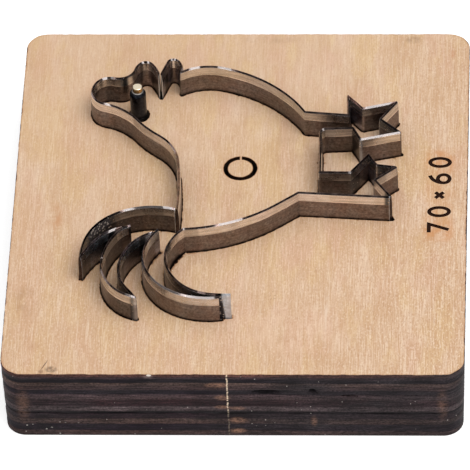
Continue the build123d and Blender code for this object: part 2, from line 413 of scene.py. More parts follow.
def waves(places, length, seed, count=24):
    """Smooth noise from -1 to 1: a sum of sine waves of random headings, phases and nearly one wavelength."""
    drawn = np.random.default_rng(seed)
    turn = drawn.uniform(0, 2 * math.pi, count)
    number = 2 * math.pi / (length * drawn.uniform(0.6, 1.6, count))
    phase = drawn.uniform(0, 2 * math.pi, count)
    places = np.asarray(places, float)
    angle = places[..., 0, None] * np.cos(turn) * number + places[..., 1, None] * np.sin(turn) * number + phase
    return np.clip(np.sin(angle).sum(-1) / math.sqrt(count) * 0.8, -1, 1)


def circle(centre, radius, count):
    """A closed ring of places round a centre."""
    return centre + radius * unit(np.arange(count) * 2 * math.pi / count)


def strip_outline(runs, half, start_reach=None, finish_reach=None):
    """The closed outline of a strip along a route. An end is half-round, or flat at its reach past the route."""
    rows = side_lines(runs, [half, -half], start_reach or 0, finish_reach or 0)[0]
    first, last = runs[0], runs[-1]
    turn = np.linspace(math.pi / 2, -math.pi / 2, 10)[1:-1]
    finish_cap = last[0][-1] + half * unit(last[1][-1] + turn)
    start_cap = first[0][0] + half * unit(first[1][0] + math.pi + turn)
    return np.concatenate([
        rows[:, 0], finish_cap if finish_reach is None else rows[:0, 0],
        rows[::-1, 1], start_cap if start_reach is None else rows[:0, 0],
    ])


def sign_strokes():
    """The strokes of the size mark, 70 x 60 in plain figures, as lines on the board's top."""
    wide, tall = mark_half_width, mark_half_height
    ring = np.linspace(0, 2 * math.pi, 41)
    zero = [unit(ring) * (wide, tall)]
    seven = [np.array([(-wide, tall), (wide, tall), (-wide / 3, -tall)])]
    cross = [0.7 * wide * np.array([(-1, -1), (1, 1)]), 0.7 * wide * np.array([(-1, 1), (1, -1)])]
    low = wide - tall
    bowl = unit(ring) * wide + (0, low)
    reach = (1.8 * wide, tall - low)
    half_turn = math.atan2(reach[1], reach[0]) - math.pi / 2
    radius = math.hypot(*reach) / (2 * math.sin(half_turn))
    swing = math.pi / 2 + 2 * half_turn * np.linspace(0, 1, 16)
    stem = np.array([-wide, low]) + radius * np.stack([np.sin(swing) - 1, -np.cos(swing)], 1)
    strokes = []
    for number, sign in enumerate([seven, zero, cross, [bowl, stem], zero]):
        for stroke in sign:
            along = mark_y + (number - 2) * mark_pitch + stroke[:, 0]
            strokes.append(np.stack([mark_x - stroke[:, 1], along], 1))
    return strokes


def stroke_outline(line, half):
    """The closed outline of a stroke with square ends, mitred at its corners."""
    step = one_long(np.diff(line, axis=0))
    closed = np.allclose(line[0], line[-1])
    before = np.vstack([step[-1:] if closed else step[:1], step])
    after = np.vstack([step, step[:1] if closed else step[-1:]])
    middle = one_long(before + after)
    left = left_of(middle) * half / (middle * before).sum(1)[:, None]
    return line + left, line - left


runs_of = {name: rule_runs(name) for name in routes}
lines_of = {name: np.vstack([run[0] for run in runs]) for name, runs in runs_of.items()}
strokes = sign_strokes()

# The top is cut into triangles along every slot, bridge, ring, seat and stroke
points, pairs = [], []


def trace(line, closed=True):
    """Adds a line of places whose steps the triangles have to keep."""
    first = sum(len(part) for part in points)
    points.append(np.asarray(line, float))
    count = len(line)
    pairs.extend((first + number, first + (number + 1) % count) for number in range(count - (not closed)))


inset = np.subtract(board_half, board_corner)
rim_parts = []
for corner_x, corner_y, start in ((1, 1, 0), (-1, 1, 90), (-1, -1, 180), (1, -1, 270)):
    arc = unit(np.radians(start + np.linspace(0, 90, 15)))
    rim_parts.append(inset * (corner_x, corner_y) + board_corner * arc)
rim = []
for part, following in zip(rim_parts, rim_parts[1:] + rim_parts[:1]):
    gap = following[0] - part[-1]
    share = np.linspace(0, 1, int(math.hypot(*gap) / rim_pitch) + 1)[1:-1]
    rim.append(np.vstack([part, part[-1] + share[:, None] * gap]))
rim = np.vstack(rim)
trace(rim)
for name, runs in runs_of.items():
    trace(strip_outline(runs, slot_half, short_slot_ends.get((name, 0)), short_slot_ends.get((name, 1))))
    stations = travelled(lines_of[name])
    for share in bridges.get(name, ()):
        for side in (-bridge_half, bridge_half):
            place = share * stations[-1] + side
            places = (place, place + 0.2)
            at, further = np.transpose([np.interp(places, stations, axis) for axis in lines_of[name].T])
            across = bridge_reach * one_long(left_of(further - at))
            trace([at - across, at + across], closed=False)
trace(circle(ring_centre, ring_inner, 56))
trace(circle(ring_centre, ring_outer, 72))
for side in (-ring_bridge_half, ring_bridge_half):
    trace([ring_centre + (side, ring_inner - 0.3), ring_centre + (side, ring_outer + 0.3)], closed=False)
trace(circle(eye_centre, eye_seat_radius, 40))
for stroke in strokes:
    left, right = stroke_outline(stroke, mark_stroke / 2)
    if np.allclose(stroke[0], stroke[-1]):
        trace(left[:-1])
        trace(right[:-1])
    else:
        trace(np.vstack([left, right[::-1]]))
# Loose points a little outside each cut keep the charred lip narrow
rump_inside = np.array([-12.1, -16.8])
loose = []
for away in (0.25, 0.7):
    loose.append((circle(ring_centre, ring_outer + away, 72), away))
    loose.append((circle(ring_centre, ring_inner - away, 56), away))
    loose.append((circle(eye_centre, eye_seat_radius + away, 48), away))
    loose += [(strip_outline(runs, slot_half + away), away) for runs in runs_of.values()]
loose.append((rim - 0.55 * rim / np.abs(rim).max(1)[:, None], 0.1))
inner_grid = np.meshgrid(np.arange(-42, 43, inner_pitch), np.arange(-45, 46, inner_pitch))
loose.append((np.stack(inner_grid, -1).reshape(-1, 2), 1))
for rows, away in loose:
    keep = np.minimum.reduce([from_line(rows, line)[0] for line in lines_of.values()]) > slot_half + away - 0.03
    keep &= np.minimum.reduce([from_line(rows, stroke)[0] for stroke in strokes]) > mark_stroke / 2 + 0.08
    keep &= from_spot(rows, eye_centre) > eye_seat_radius + 0.2
    keep &= np.abs(from_spot(rows, ring_centre) - (ring_inner + ring_outer) / 2) > 0.6
    keep &= (from_spot(rows, rump_inside) > 4.5) | (away > 0.5)
    points.append(rows[keep])
flat = np.round(np.vstack(points), 4)
flat, number_of = np.unique(flat, axis=0, return_inverse=True)
number_of = number_of.reshape(-1)
pairs = {tuple(sorted((int(number_of[a]), int(number_of[b])))) for a, b in pairs}
pairs = [pair for pair in pairs if pair[0] != pair[1]]
cut = delaunay_2d_cdt([Vector(place) for place in flat], pairs, [], 0, 1e-5)
plan = np.array([tuple(place) for place in cut[0]])
triangles = np.array(cut[2])
new_number = {old: new for new, olds in enumerate(cut[3]) for old in olds}
rim_numbers = np.array([new_number[int(number_of[place])] for place in range(len(rim))])

# How high the wood stands under each triangle
middles = plan[triangles].mean(1)
height = np.full(len(triangles), board_top)
for stroke in strokes:
    height[from_line(middles, stroke)[0] < mark_stroke / 2] = board_top - mark_depth
for name, line in lines_of.items():
    far, nearest = from_line(middles, line)
    stations = travelled(line)
    place = stations[nearest]
    slot = far < slot_half - 0.012
    for end, (tip, inner) in enumerate(((line[0], line[1]), (line[-1], line[-2]))):
        past = (middles - tip) @ one_long(tip - inner)
        slot &= (past < short_slot_ends.get((name, end), 1)) | (from_spot(middles, tip) > 1.5)
    bridged = np.zeros(len(far), bool)
    for share in bridges.get(name, ()):
        bridged |= np.abs(place - share * stations[-1]) < bridge_half
    height[slot] = np.minimum(height, np.where(bridged, bridge_top, 0))[slot]
radius = from_spot(middles, ring_centre)
in_bridge = (np.abs(middles[:, 0] - ring_centre[0]) < ring_bridge_half) & (middles[:, 1] > ring_centre[1])
height[(radius > ring_inner) & (radius < ring_outer) & ~in_bridge] = 0
height[from_spot(middles, eye_centre) < eye_seat_radius] = 0

# Each level of the board repeats the plan's points, and walls join the levels where the height changes
levels = np.array([0.0, bridge_top, board_top - mark_depth, board_top])
count = len(plan)
sides = np.concatenate([triangles[:, [0, 1]], triangles[:, [1, 2]], triangles[:, [2, 0]]])
owner = np.tile(np.arange(len(triangles)), 3)
key = np.sort(sides, 1)
order = np.lexsort((key[:, 1], key[:, 0]))
same = (key[order][1:] == key[order][:-1]).all(1)
first, second = order[:-1][same], order[1:][same]
drop = height[owner[first]] - height[owner[second]]
high = np.where(drop > 0, first, second)[drop != 0]
low_height = np.minimum(height[owner[first]], height[owner[second]])[drop != 0]
high_height = height[owner[high]]
faces, kinds = [], []
for number, level_height in enumerate(levels[1:], 1):
    lid = triangles[height == level_height] + number * count
    faces.append(np.hstack([lid, lid[:, :1]]))
    kinds.append(np.full(len(lid), 0 if level_height == board_top else 2))
    tall = (low_height < level_height) & (high_height >= level_height)
    a, b = sides[high[tall]].T
    faces.append(np.stack([a, b, b, a], 1) + count * (number - np.array([1, 1, 0, 0])))
    kinds.append(np.full(tall.sum(), 2))
base = triangles[height > 0][:, ::-1]
faces.append(np.hstack([base, base[:, :1]]))
kinds.append(np.zeros(len(base), int))

# The charred lip: at the top the slots open a little wider, by an uneven amount
slot_rim = np.unique(sides[high[(low_height <= bridge_top) & (high_height > bridge_top)]])
far, out = np.full(len(slot_rim), 1e3), np.zeros((len(slot_rim), 2))
for line in lines_of.values():
    gap, nearest = from_line(plan[slot_rim], line)
    nearer = gap < far
    far[nearer] = gap[nearer]
    out[nearer] = (plan[slot_rim] - line[nearest])[nearer]
out /= np.hypot(*out.T)[:, None] + 1e-9
on_slot = np.abs(far - slot_half) < 0.05
ragged = 0.07 + 0.07 * waves(plan[slot_rim], 1.1, 3) + 0.05 * waves(plan[slot_rim], 0.4, 4)
rump = np.exp(-(from_spot(plan[slot_rim], rump_inside) / 2.2) ** 2)
rump *= np.clip(out @ (1, -0.5), 0, 1)
ragged = np.clip(ragged, 0, 0.26) + 0.3 * rump * (1 + waves(plan[slot_rim], 0.7, 5))
for centre, hole, wide in ((eye_centre, eye_seat_radius, 0.14), (ring_centre, ring_outer, 0.03)):
    from_centre = plan[slot_rim] - centre
    gap = from_spot(plan[slot_rim], centre)
    round_it = np.abs(gap - hole) < 0.02
    out[round_it] = (from_centre / gap[:, None])[round_it]
    open_side = 0.55 + 0.45 * (from_centre @ (0.8, -0.6)) / (gap + 1e-9)
    ragged[round_it] = (open_side * (wide + wide * waves(plan[slot_rim], 0.9, 6)))[round_it]
    on_slot |= round_it
top_plan = plan.copy()
top_plan[slot_rim[on_slot]] += (out * ragged[:, None])[on_slot]
char = np.zeros(count)
char[slot_rim] = 1
# The rim is a little scorched all round, burnt black along part of the right side and at a bump on the left
bump = np.clip(1.5 - np.abs(rim[:, 1] - 15.7) / 0.8, 0, 1) * (rim[:, 0] < -side_from)
burn = np.clip(np.minimum(2.8 - rim[:, 1], rim[:, 1] + 11.4) / 0.5, 0, 1) * (rim[:, 0] > side_from)
char[rim_numbers] = np.maximum(0.52, np.maximum(bump, burn))

# Sides: plies stand back unevenly, with a few open voids, and the laser left fine upright ripples
rim_count = len(rim)
rim_along = travelled(rim)
rim_out = one_long(left_of(np.roll(rim, 1, 0) - np.roll(rim, -1, 0)))
ply_thickness = [0.9, 1.6, 1.8, 1.4, 1.6, 1.9, 1.2, 0.5, 1.7, 1.4, 1.8, 1.2]
ply_recess = [0.02, 0.10, 0.03, 0.11, 0.04, 0.10, 0.03, 0.22, 0.09, 0.03, 0.11, 0.03]
ply_low = board_top - np.cumsum(ply_thickness)
side_heights = np.unique(np.round(np.concatenate([
    np.arange(0.3, board_top - 0.2, side_pitch), ply_low[:-1] - 0.05, ply_low[:-1] + 0.05,
    [0.12, board_top - 0.12],
]), 3))[::-1]
grid_along, grid_height = np.broadcast_arrays(rim_along, side_heights[:, None])
spots = np.stack([grid_along, grid_height * 6], -1)
wavy = grid_height + 0.10 * waves(np.stack([grid_along, 0 * grid_along], -1), 30, 11)
ply = np.clip(np.searchsorted(-ply_low, -wavy, side="left"), 0, len(ply_recess) - 1)
recess = np.array(ply_recess)[ply] * (0.8 + 0.5 * waves(spots, 9, 12)) + 0.02 + 0.02 * waves(spots * (4, 1), 3, 13)
recess += 0.012 * np.sin(grid_along * 2 * math.pi / 0.9 + 2 * waves(spots, 20, 14))
grid_x = rim[:, 0] + 0 * grid_height
front = rim[:, 1] + 0 * grid_height < -front_from
voids = ((6.6, 12.2, 3.1, 0.5), (15.3, 12.3, 0.9, 0.75), (22.3, 11.2, 1.8, 0.2))
for void_x, void_z, void_long, void_tall in voids:
    shape = ((grid_x - void_x) / void_long) ** 2 + ((grid_height - void_z) / void_tall) ** 2
    recess += np.where(front, 0.9 * np.clip(1.15 - shape, 0, 1), 0)
crack_x = -0.95 + 0.12 * np.sin(grid_height * 2.3) + 0.05 * np.sin(grid_height * 7.1)
recess -= np.where(front, 0.10 * np.exp(-((grid_x - crack_x) / 0.22) ** 2), 0)
lean = (board_top - grid_height) * board_lean
side_grid = rim[None] - rim_out[None] * (np.clip(recess, 0, 1.2) + lean)[..., None]
side_points = np.concatenate([side_grid, grid_height[..., None]], -1).reshape(-1, 3)

bottom_plan = plan.copy()
bottom_plan[rim_numbers] -= rim_out * (board_top * board_lean + 0.12)
top_plan[rim_numbers] -= rim_out * ((0.13 + 0.07 * waves(rim, 2.5, 15)) * (1 - bump))[:, None]
layers = zip((bottom_plan, plan, plan, top_plan), levels)
board_points = np.vstack([
    *(np.column_stack([layer, np.full(count, level)]) for layer, level in layers), side_points,
])
rows = np.vstack([
    rim_numbers + 3 * count,
    np.arange(len(side_heights) * rim_count).reshape(-1, rim_count) + 4 * count,
    rim_numbers,
])
faces.append(quads(rows[:-1], rows[1:]))
kinds.append(np.ones(len(faces[-1]), int))
faces, kinds = np.vstack(faces), np.concatenate(kinds)


def make_piece(name, points, faces, kinds=None, attributes=(), sharp_from=40, close_up=0):
    """A mesh object from arrays of points in millimetres and of faces of up to four corners.

    A triangle repeats its first corner. Points that no face uses are dropped, points closer than
    close_up millimetres are merged, edges are sharp from an angle in degrees on, and the object sits at
    the origin.
    """
    used, numbered = np.unique(faces, return_inverse=True)
    faces = numbered.reshape(faces.shape)
    mesh = bpy.data.meshes.new(name)
    corners = np.where(faces[:, 3] == faces[:, 0], 3, 4)
    mesh.vertices.add(len(used))
    mesh.vertices.foreach_set("co", (points[used] * MM).ravel())
    mesh.loops.add(int(corners.sum()))
    keep = np.ones(faces.shape, bool)
    keep[:, 3] = corners == 4
    mesh.loops.foreach_set("vertex_index", faces[keep].astype(np.int32))
    mesh.polygons.add(len(faces))
    mesh.polygons.foreach_set("loop_start", (np.cumsum(corners) - corners).astype(np.int32))
    if kinds is not None:
        mesh.polygons.foreach_set("material_index", kinds.astype(np.int32))
    for title, values in dict(attributes).items():
        layer = mesh.attributes.new(title, "FLOAT", "POINT")
        layer.data.foreach_set("value", values[used].astype(np.float32))
    mesh.update(calc_edges=True)
    mesh.validate()
    if close_up:
        work = bmesh.new()
        work.from_mesh(mesh)
        bmesh.ops.remove_doubles(work, verts=work.verts, dist=close_up * MM)
        work.to_mesh(mesh)
        work.free()
    piece = bpy.data.objects.new(name, mesh)
    scene.collection.objects.link(piece)
    mesh.shade_smooth()
    mesh.set_sharp_from_angle(angle=math.radians(sharp_from))
    return piece


char = np.concatenate([np.tile(char, 4), np.zeros(len(side_points))])
board = make_piece("veneered_board", board_points, faces, kinds, {"char": char}, close_up=0.0005)
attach(board, "die")
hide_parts("plywood_board")


def blend_of(share, first, second, kind="MIX"):
    """A blend of two colours by a share from 0 to 1, the first of which is a wire."""
    return add_node(
        first.tree, "ShaderNodeMix", {0: share, 6: first, 7: linear(second)}, 2, data_type="RGBA", blend_type=kind,
    )


def coats(colour, *layers):
    """The colour with others laid over it in turn, each by its own share from 0 to 1."""
    for share, layer in layers:
        colour = blend_of(share, colour, layer)
    return colour


def stretched(place, scale):
    """The place with each of its axes multiplied, to stretch a pattern."""
    return add_node(place.tree, "ShaderNodeVectorMath", {0: place, 1: scale}, "Vector", operation="MULTIPLY")


def noise_of(place, scale, detail=2, roughness=0.5, stretch=None, give="Fac"):
    """Cloudy noise, whose scale is in cells per metre."""
    place = stretched(place, stretch) if stretch else place
    return add_node(
        place.tree, "ShaderNodeTexNoise",
        {"Vector": place, "Scale": scale, "Detail": detail, "Roughness": roughness}, give,
    )


def range_of(value, low, high, to_low=0, to_high=1, kind="SMOOTHSTEP"):
    """The value eased from one range to another, and held at its ends."""
    return add_node(
        value.tree, "ShaderNodeMapRange",
        {"Value": value, "From Min": low, "From Max": high, "To Min": to_low, "To Max": to_high}, "Result",
        interpolation_type=kind,
    )


def line_of(value, low, high, to_low, to_high):
    """The same in a straight line."""
    return range_of(value, low, high, to_low, to_high, "LINEAR")


def length_of(place):
    """How far a place is from the origin."""
    return add_node(place.tree, "ShaderNodeVectorMath", {0: place}, "Value", operation="LENGTH")


def blot_of(place, middle, half_size, turn=0, soft=0.4):
    """1 inside an ellipsoid with the given middle and half sizes in millimetres, faded over its outer part.

    The place is moved by the middle, turned about Z by an angle in degrees and divided by the half sizes,
    and its length is 1 at the ellipsoid's face.
    """
    near = add_node(place.tree, "ShaderNodeMapping", {
        "Vector": place, "Location": [value * MM for value in middle],
        "Rotation": (0, 0, math.radians(turn)), "Scale": [value * MM for value in half_size],
    }, "Vector", vector_type="TEXTURE")
    return range_of(length_of(near), 1 - soft, 1, 1, 0)


def spot_of(place, middle, half_size, turn=0, soft=0.4):
    """The same for an upright ellipse on the board's top."""
    return blot_of(place, (*middle, board_top), (*half_size, 9), turn, soft)


def new_finish(name):
    """An empty material, the place on the object in metres, and the place's three axes."""
    made = bpy.data.materials.new(name)
    place = add_node(emptied(made), "ShaderNodeTexCoord", give="Object")
    return made, place, add_node(place.tree, "ShaderNodeSeparateXYZ", {"Vector": place}, ("X", "Y", "Z"))


def attribute_of(place, name):
    """A value that the mesh carries at its points."""
    return add_node(place.tree, "ShaderNodeAttribute", give="Fac", attribute_name=name)


def grey_of(value):
    """A grey of the given brightness."""
    return add_node(
        value.tree, "ShaderNodeCombineColor", {"Red": value, "Green": value, "Blue": value}, "Color",
    )


def shade(colour, roughness, height, relief, strength, **others):
    """The surface: colour and roughness, relief in metres from a height, and other values set on the shader."""
    tree = colour.tree
    bump = add_node(tree, "ShaderNodeBump", {"Height": height, "Distance": relief, "Strength": strength}, "Normal")
    values = {"Base Color": colour, "Roughness": roughness, "Normal": bump}
    values.update({title.replace("_", " "): value for title, value in others.items()})
    surface = add_node(tree, "ShaderNodeBsdfPrincipled", values, "BSDF")
    add_node(tree, "ShaderNodeOutputMaterial", {"Surface": surface})


def new_group(name, **numbers):
    """An empty node group that takes a place and some numbers, with the wires that bring them in."""
    tree = bpy.data.node_groups.new(name, "ShaderNodeTree")
    tree.interface.new_socket("Place", in_out="INPUT", socket_type="NodeSocketVector")
    for title, value in numbers.items():
        tree.interface.new_socket(title, in_out="INPUT", socket_type="NodeSocketFloat").default_value = value
    return tree, *add_node(tree, "NodeGroupInput", give=("Place", *numbers))


def close_group(tree, **results):
    """Gives the group its results."""
    for title in results:
        tree.interface.new_socket(title, in_out="OUTPUT", socket_type="NodeSocketFloat")
    add_node(tree, "NodeGroupOutput", results)


def use_group(group, give, place, **numbers):
    """Places a node group in a finish."""
    return add_node(place.tree, "ShaderNodeGroup", {"Place": place, **numbers}, give, node_tree=group)


# Shared by wood and steel: scattered specks of dust, the size and number of which each finish sets
specks, place, cells, share, size = new_group("specks", Cells=800, Share=0.1, Size=0.25)
from_cell, hue = add_node(
    specks, "ShaderNodeTexVoronoi", {"Vector": place, "Scale": cells}, ("Distance", "Color"),
)
chosen = math_of("LESS_THAN", add_node(specks, "ShaderNodeSeparateColor", {"Color": hue}, "Red"), share)
ragged_distance = from_cell + (noise_of(place, 6000) * 0.9 - 0.45) * size
close_group(specks, Mask=math_of("LESS_THAN", ragged_distance, size) * chosen)

# The top veneer: grain that runs along Y in fine streaks, with soft clouds of colour across it
veneer, place, (x, y, z) = new_finish("pale_veneer")
swayed = add_node(
    place.tree, "ShaderNodeVectorMath", {0: noise_of(place, 40, give="Color"), 1: (0.0008, 0, 0), 2: place},
    "Vector", operation="MULTIPLY_ADD",
)
streaks = noise_of(swayed, 5200, 2, 0.6, (1, 0.035, 0.3))
pores = range_of(noise_of(swayed, 7280, stretch=(1, 0.06, 0.3)), 0.50, 0.66)
flecks = noise_of(place, 3600, stretch=(1, 0.5, 1))
cloud, tint, warmth = add_node(
    place.tree, "ShaderNodeSeparateColor",
    {"Color": noise_of(swayed, 190, 4, 0.62, (1, 0.32, 0.4), "Color")}, ("Red", "Green", "Blue"),
)
# The grain is crisper towards the front and the right, and soft at the back left
crisp = line_of(y, 0.044, -0.03, 0.55, 1.15) + line_of(x, 0.014, 0.04, 0, 0.55)
colour = coats(
    ramp_of(cloud, [
        (0.3, (213, 174, 138)), (0.43, (223, 188, 154)), (0.56, (230, 197, 166)), (0.7, (238, 209, 183)),
    ]),
    (range_of(tint, 0.46, 0.62, 0, 0.6), (229, 195, 146)),
    (range_of(warmth, 0.48, 0.66, 0, 0.5), (225, 182, 156)),
    (range_of(x, 0.02, -0.03, 0, 0.3), (216, 178, 140)),
    (line_of(streaks, 0.42, 0.64, 0, 0.44) * crisp, (205, 161, 122)),
    (line_of(streaks, 0.46, 0.32, 0, 0.44) * crisp, (243, 217, 190)),
    (line_of(pores, 0, 1, 0, 0.24) * crisp, (186, 140, 104)),
    (range_of(flecks, 0.56, 0.68, 0, 0.4) * crisp, (200, 152, 116)),
    (range_of(flecks, 0.42, 0.32, 0, 0.4) * crisp, (246, 220, 194)),
)
# Stains and other darker and lighter patches in the veneer: the middle, the half sizes, how strong it is, and its
# colour. The dark patch over the figure's middle among the rules is painted shade
stain_and_shade_cloud = range_of(noise_of(place, 380, 4, 0.65, (1, 0.5, 1)), 0.38, 0.62)
for middle, half_size, strength, stain_and_shade in (
    ((-35.8, -5.5), (2.2, 6), 0.6, (205, 146, 100)), ((-40.5, -28), (3, 6), 0.55, (182, 138, 102)),
    ((-33, -38), (2, 3), 0.3, (205, 156, 112)), ((33, 46), (2.5, 1.6), 0.55, (150, 112, 86)),
    ((41, 42), (0.7, 2), 0.5, (196, 128, 84)), ((4, 46), (8, 1.6), 0.35, (176, 140, 110)),
    ((-14, -36), (0.5, 5), 0.3, (196, 142, 108)), ((17.6, -28), (0.4, 12), 0.7, (243, 220, 198)),
    # Painted shade over the figure's middle among the rules, and a lighter patch at the front middle
    ((10, 13), (9, 9), 0.3, (192, 150, 112)), ((10, -36), (17, 9), 0.3, (244, 210, 182)),
    ((-36, 26), (8, 14), 0.3, (236, 206, 174)),
):
    colour = blend_of(spot_of(place, middle, half_size, 0, 0.8) * stain_and_shade_cloud * strength, colour, stain_and_shade)
# Small marks: five short scratches, and near the front left corner a grey rubbed patch and a pencil line
for *middle, turn in ((6.7, -26.4, 55), (7.2, -25.2, 62), (7.6, -26.3, 20), (6.9, -27.3, 60), (7.6, -27.1, -15)):
    colour = blend_of(spot_of(place, middle, (0.34, 0.11), turn) * 0.5, colour, (168, 120, 86))
rubbed = spot_of(place, (-34.4, -46.3), (1.5, 1.1), 0, 0.6)
rubbed = rubbed * range_of(noise_of(place, 1500, 3), 0.36, 0.54, 0.2, 1)
# The charred lips of the cuts, and pale crumbs of wood that lie in the soot inside the rump
burnt = attribute_of(place, "char")
smoke = burnt * range_of(noise_of(place, 900, 3), 0.2, 0.6, 0.55, 1)
crumbs = use_group(specks, "Mask", place, Cells=1500, Share=0.5, Size=0.24)
crumbs = crumbs * spot_of(place, rump_inside, (3.6, 3.6), 0, 0.2) * range_of(burnt, 0.1, 0.3)
# Orange scorch that the laser left round the size mark, stronger at both of its ends
along_mark = abs(y - mark_y * MM)
scorch = range_of(abs(x - mark_x * MM), 0.0018, 0.0036, 1, 0) * range_of(along_mark, 0.0112, 0.0136, 1, 0)
scorch = scorch * range_of(along_mark, 0.004, 0.0115, 0.35, 1) * range_of(z, 0.008, 0.012, 0, 0.75)
scorch = scorch * range_of(noise_of(place, 420, 3), 0.3, 0.62, 0.1, 1)
colour = coats(
    colour,
    (rubbed, (152, 124, 100)),
    (spot_of(place, (-36.4, -46.9), (0.75, 0.7), 0, 0.7) * flecks, (128, 92, 74)),
    (spot_of(place, (-35.8, -45.2), (1.95, 0.13), 65, 0.6) * 0.9, (100, 74, 62)),
    (range_of(smoke, 0.05, 0.75, 0, 0.75), (176, 122, 78)),
    (range_of(smoke, 0.55, 0.95), (58, 38, 27)),
    (crumbs, (226, 210, 190)),
    (scorch, (208, 142, 86)),
)
shade(colour, range_of(streaks, 0.3, 0.7, 0.52, 0.68), streaks - pores, 0.00004, 0.4, Specular_IOR_Level=0.35)
board.data.materials.append(veneer)

# The burnt sides: the plies' colours by their depth under the top
plies, place, (x, y, z) = new_finish("burnt_plies")
bands = [
    (0, 82, 54, 50), (0.45, 86, 56, 50), (0.8, 56, 40, 42), (1.2, 54, 41, 44), (1.5, 20, 14, 20),
    (2.3, 18, 13, 19), (2.5, 86, 68, 62), (2.8, 80, 63, 58), (3.4, 66, 49, 47), (4.2, 58, 43, 43),
    (4.5, 20, 14, 20), (5.4, 22, 16, 23), (5.7, 70, 55, 57), (6.8, 66, 51, 51), (7.1, 45, 27, 29),
    (8.7, 37, 23, 26), (9.1, 82, 70, 71), (9.9, 76, 64, 65), (10.3, 12, 8, 11), (10.8, 12, 8, 11),
    (11, 35, 25, 29), (12.2, 39, 28, 31), (12.5, 72, 58, 54), (13.6, 67, 50, 47), (13.8, 27, 20, 27),
    (15.5, 29, 21, 28), (15.8, 69, 52, 49), (16.7, 59, 44, 43), (17, 26, 19, 22),
]
waver = noise_of(place, 55, 3, stretch=(1, 1, 0.15)) * 0.0008 - 0.0004
share_of_height = (z + waver) * (1 / (board_top * MM))
colour = ramp_of(share_of_height, [(1 - depth / board_top, hue) for depth, *hue in reversed(bands)])
# Soot blurs the plies in places, most of all over the right half of the front
sooty = range_of(noise_of(place, 150, 3, stretch=(0.5, 0.5, 1.6)), 0.4, 0.7, 0, 0.5)
colour = blend_of(range_of(x, 0.004, 0.016, 0.05, 0.45) + sooty, colour, (43, 38, 40))
streaks = noise_of(place, 3400, 4, 0.65, (0.07, 0.07, 1))
speckle = noise_of(place, 3400, 4, 0.7, (0.6, 0.6, 1))
patches = noise_of(place, 110, 3, 0.55, (1, 1, 2.2))
gain = line_of(streaks, 0.32, 0.68, 0.4, 1.6) * line_of(speckle, 0.3, 0.7, 0.15, 2.1)
colour = blend_of(1, colour, grey_of(gain * line_of(patches, 0.3, 0.7, 0.75, 1.65)), "MULTIPLY")
# Paler scorched wood beside the crack and near the corners: the middle, the half sizes, and how strong
ragged_here = range_of(noise_of(place, 900, 3, 0.6, (0.4, 0.4, 1)), 0.34, 0.54, 0.3, 1)
ragged_here = range_of(speckle, 0.34, 0.58, 0.15, 1) * ragged_here
for *middle, half_x, half_z, strength in (
    (-2.9, -47.7, 14.1, 2.4, 0.75, 1), (-2, -47.7, 10.6, 1.6, 0.8, 1), (-2, -47.7, 7.9, 1.6, 0.6, 1),
    (0.9, -47.7, 7.7, 1.6, 0.5, 1), (0.9, -47.7, 4.3, 1.8, 0.9, 1), (0.7, -47.7, 1.4, 1.8, 0.7, 1),
    (-40.2, -46.9, 8.5, 1.5, 5, 0.34), (15.4, -47.7, 4.2, 0.7, 1.6, 0.6), (40, -46.9, 8.8, 1.2, 4.6, 0.3),
):
    patch = blot_of(place, middle, (1.25 * half_x, 3.75, 1.25 * half_z), 0, 0.9)
    colour = blend_of(patch * ragged_here * strength, colour, (168, 126, 104))
# Painted shadow inside the open voids of the front
for void_x, void_z, void_long, void_tall in voids:
    shadow = blot_of(place, (void_x, -board_half[1], void_z), (void_long, 3, void_tall), 0, 0.5)
    colour = blend_of(shadow * 0.8, colour, (8, 6, 8))
# A crack at the front where the laser started, with cream split fibres
wander = noise_of(place, 420, 4, 0.6, (0, 0, 1)) * 0.0009 - 0.00045
crack = range_of(abs(x + wander + 0.00095), 0.00009, 0.00019, 1, 0) * range_of(z, 0.0055, 0.0085, 0.15, 1)
crack = crack * range_of(noise_of(place, 1500, 3, 0.7, (0, 0, 1)), 0.44, 0.52)
# Dust, and a heap of crumbs low at the left end of the front
dust = use_group(specks, "Mask", place, Cells=1150, Share=0.07, Size=0.13)
crumbs = use_group(specks, "Mask", stretched(place, (1, 1, 1.3)), Cells=800, Share=0.5, Size=0.15)
heap = range_of(abs(x + 0.0355), 0.004, 0.007, 1, 0) * range_of(z, 0.0045, 0.003)
dust = math_of("MAXIMUM", dust, crumbs * heap) * range_of(speckle, 0.4, 0.6, 0.35, 0.95)
# A chip in the front edge laid the pale wood bare, with crushed fibres under it
from_chip = add_node(
    place.tree, "ShaderNodeVectorMath", {0: place, 1: (0.01574, 0.0477, -0.0168)}, "Vector", operation="ADD",
)
chip = range_of(length_of(stretched(from_chip, (0.55, 0.4, 1))), 0.00018, 0.00032, 1, 0)
crushed = range_of(length_of(stretched(from_chip, (0.5, 0.4, 0.35))), 0.0003, 0.0008, 1, 0)
colour = coats(
    colour,
    (crack * math_of("LESS_THAN", y, -0.0465), (255, 228, 198)),
    (dust, (214, 204, 196)),
    (crushed * range_of(streaks, 0.48, 0.62) * 0.55, (150, 132, 128)),
    (chip, (252, 240, 226)),
)
shade(
    colour, range_of(speckle, 0.3, 0.7, 0.55, 0.8), streaks + speckle * 0.5, 0.00018, 0.6, Specular_IOR_Level=0.12,
)
board.data.materials.append(plies)

# Slots, ring and the floor of the size mark: charcoal, browner where the cut is shallow
charcoal, place, (_, _, z) = new_finish("charred_cut")
crumbs = noise_of(place, 3200, 4, 0.65)
colour = blend_of(
    range_of(z, 0.0164, 0.0167), ramp_of(crumbs, [(0.3, (14, 11, 10)), (0.7, (52, 38, 30))]),
    ramp_of(crumbs, [(0.3, (26, 12, 6)), (0.6, (46, 24, 13)), (0.78, (78, 44, 24))]),
)
shade(colour, range_of(crumbs, 0.3, 0.7, 0.7, 0.95), crumbs, 0.00015, 0.7, Specular_IOR_Level=0.12)
board.data.materials.append(charcoal)


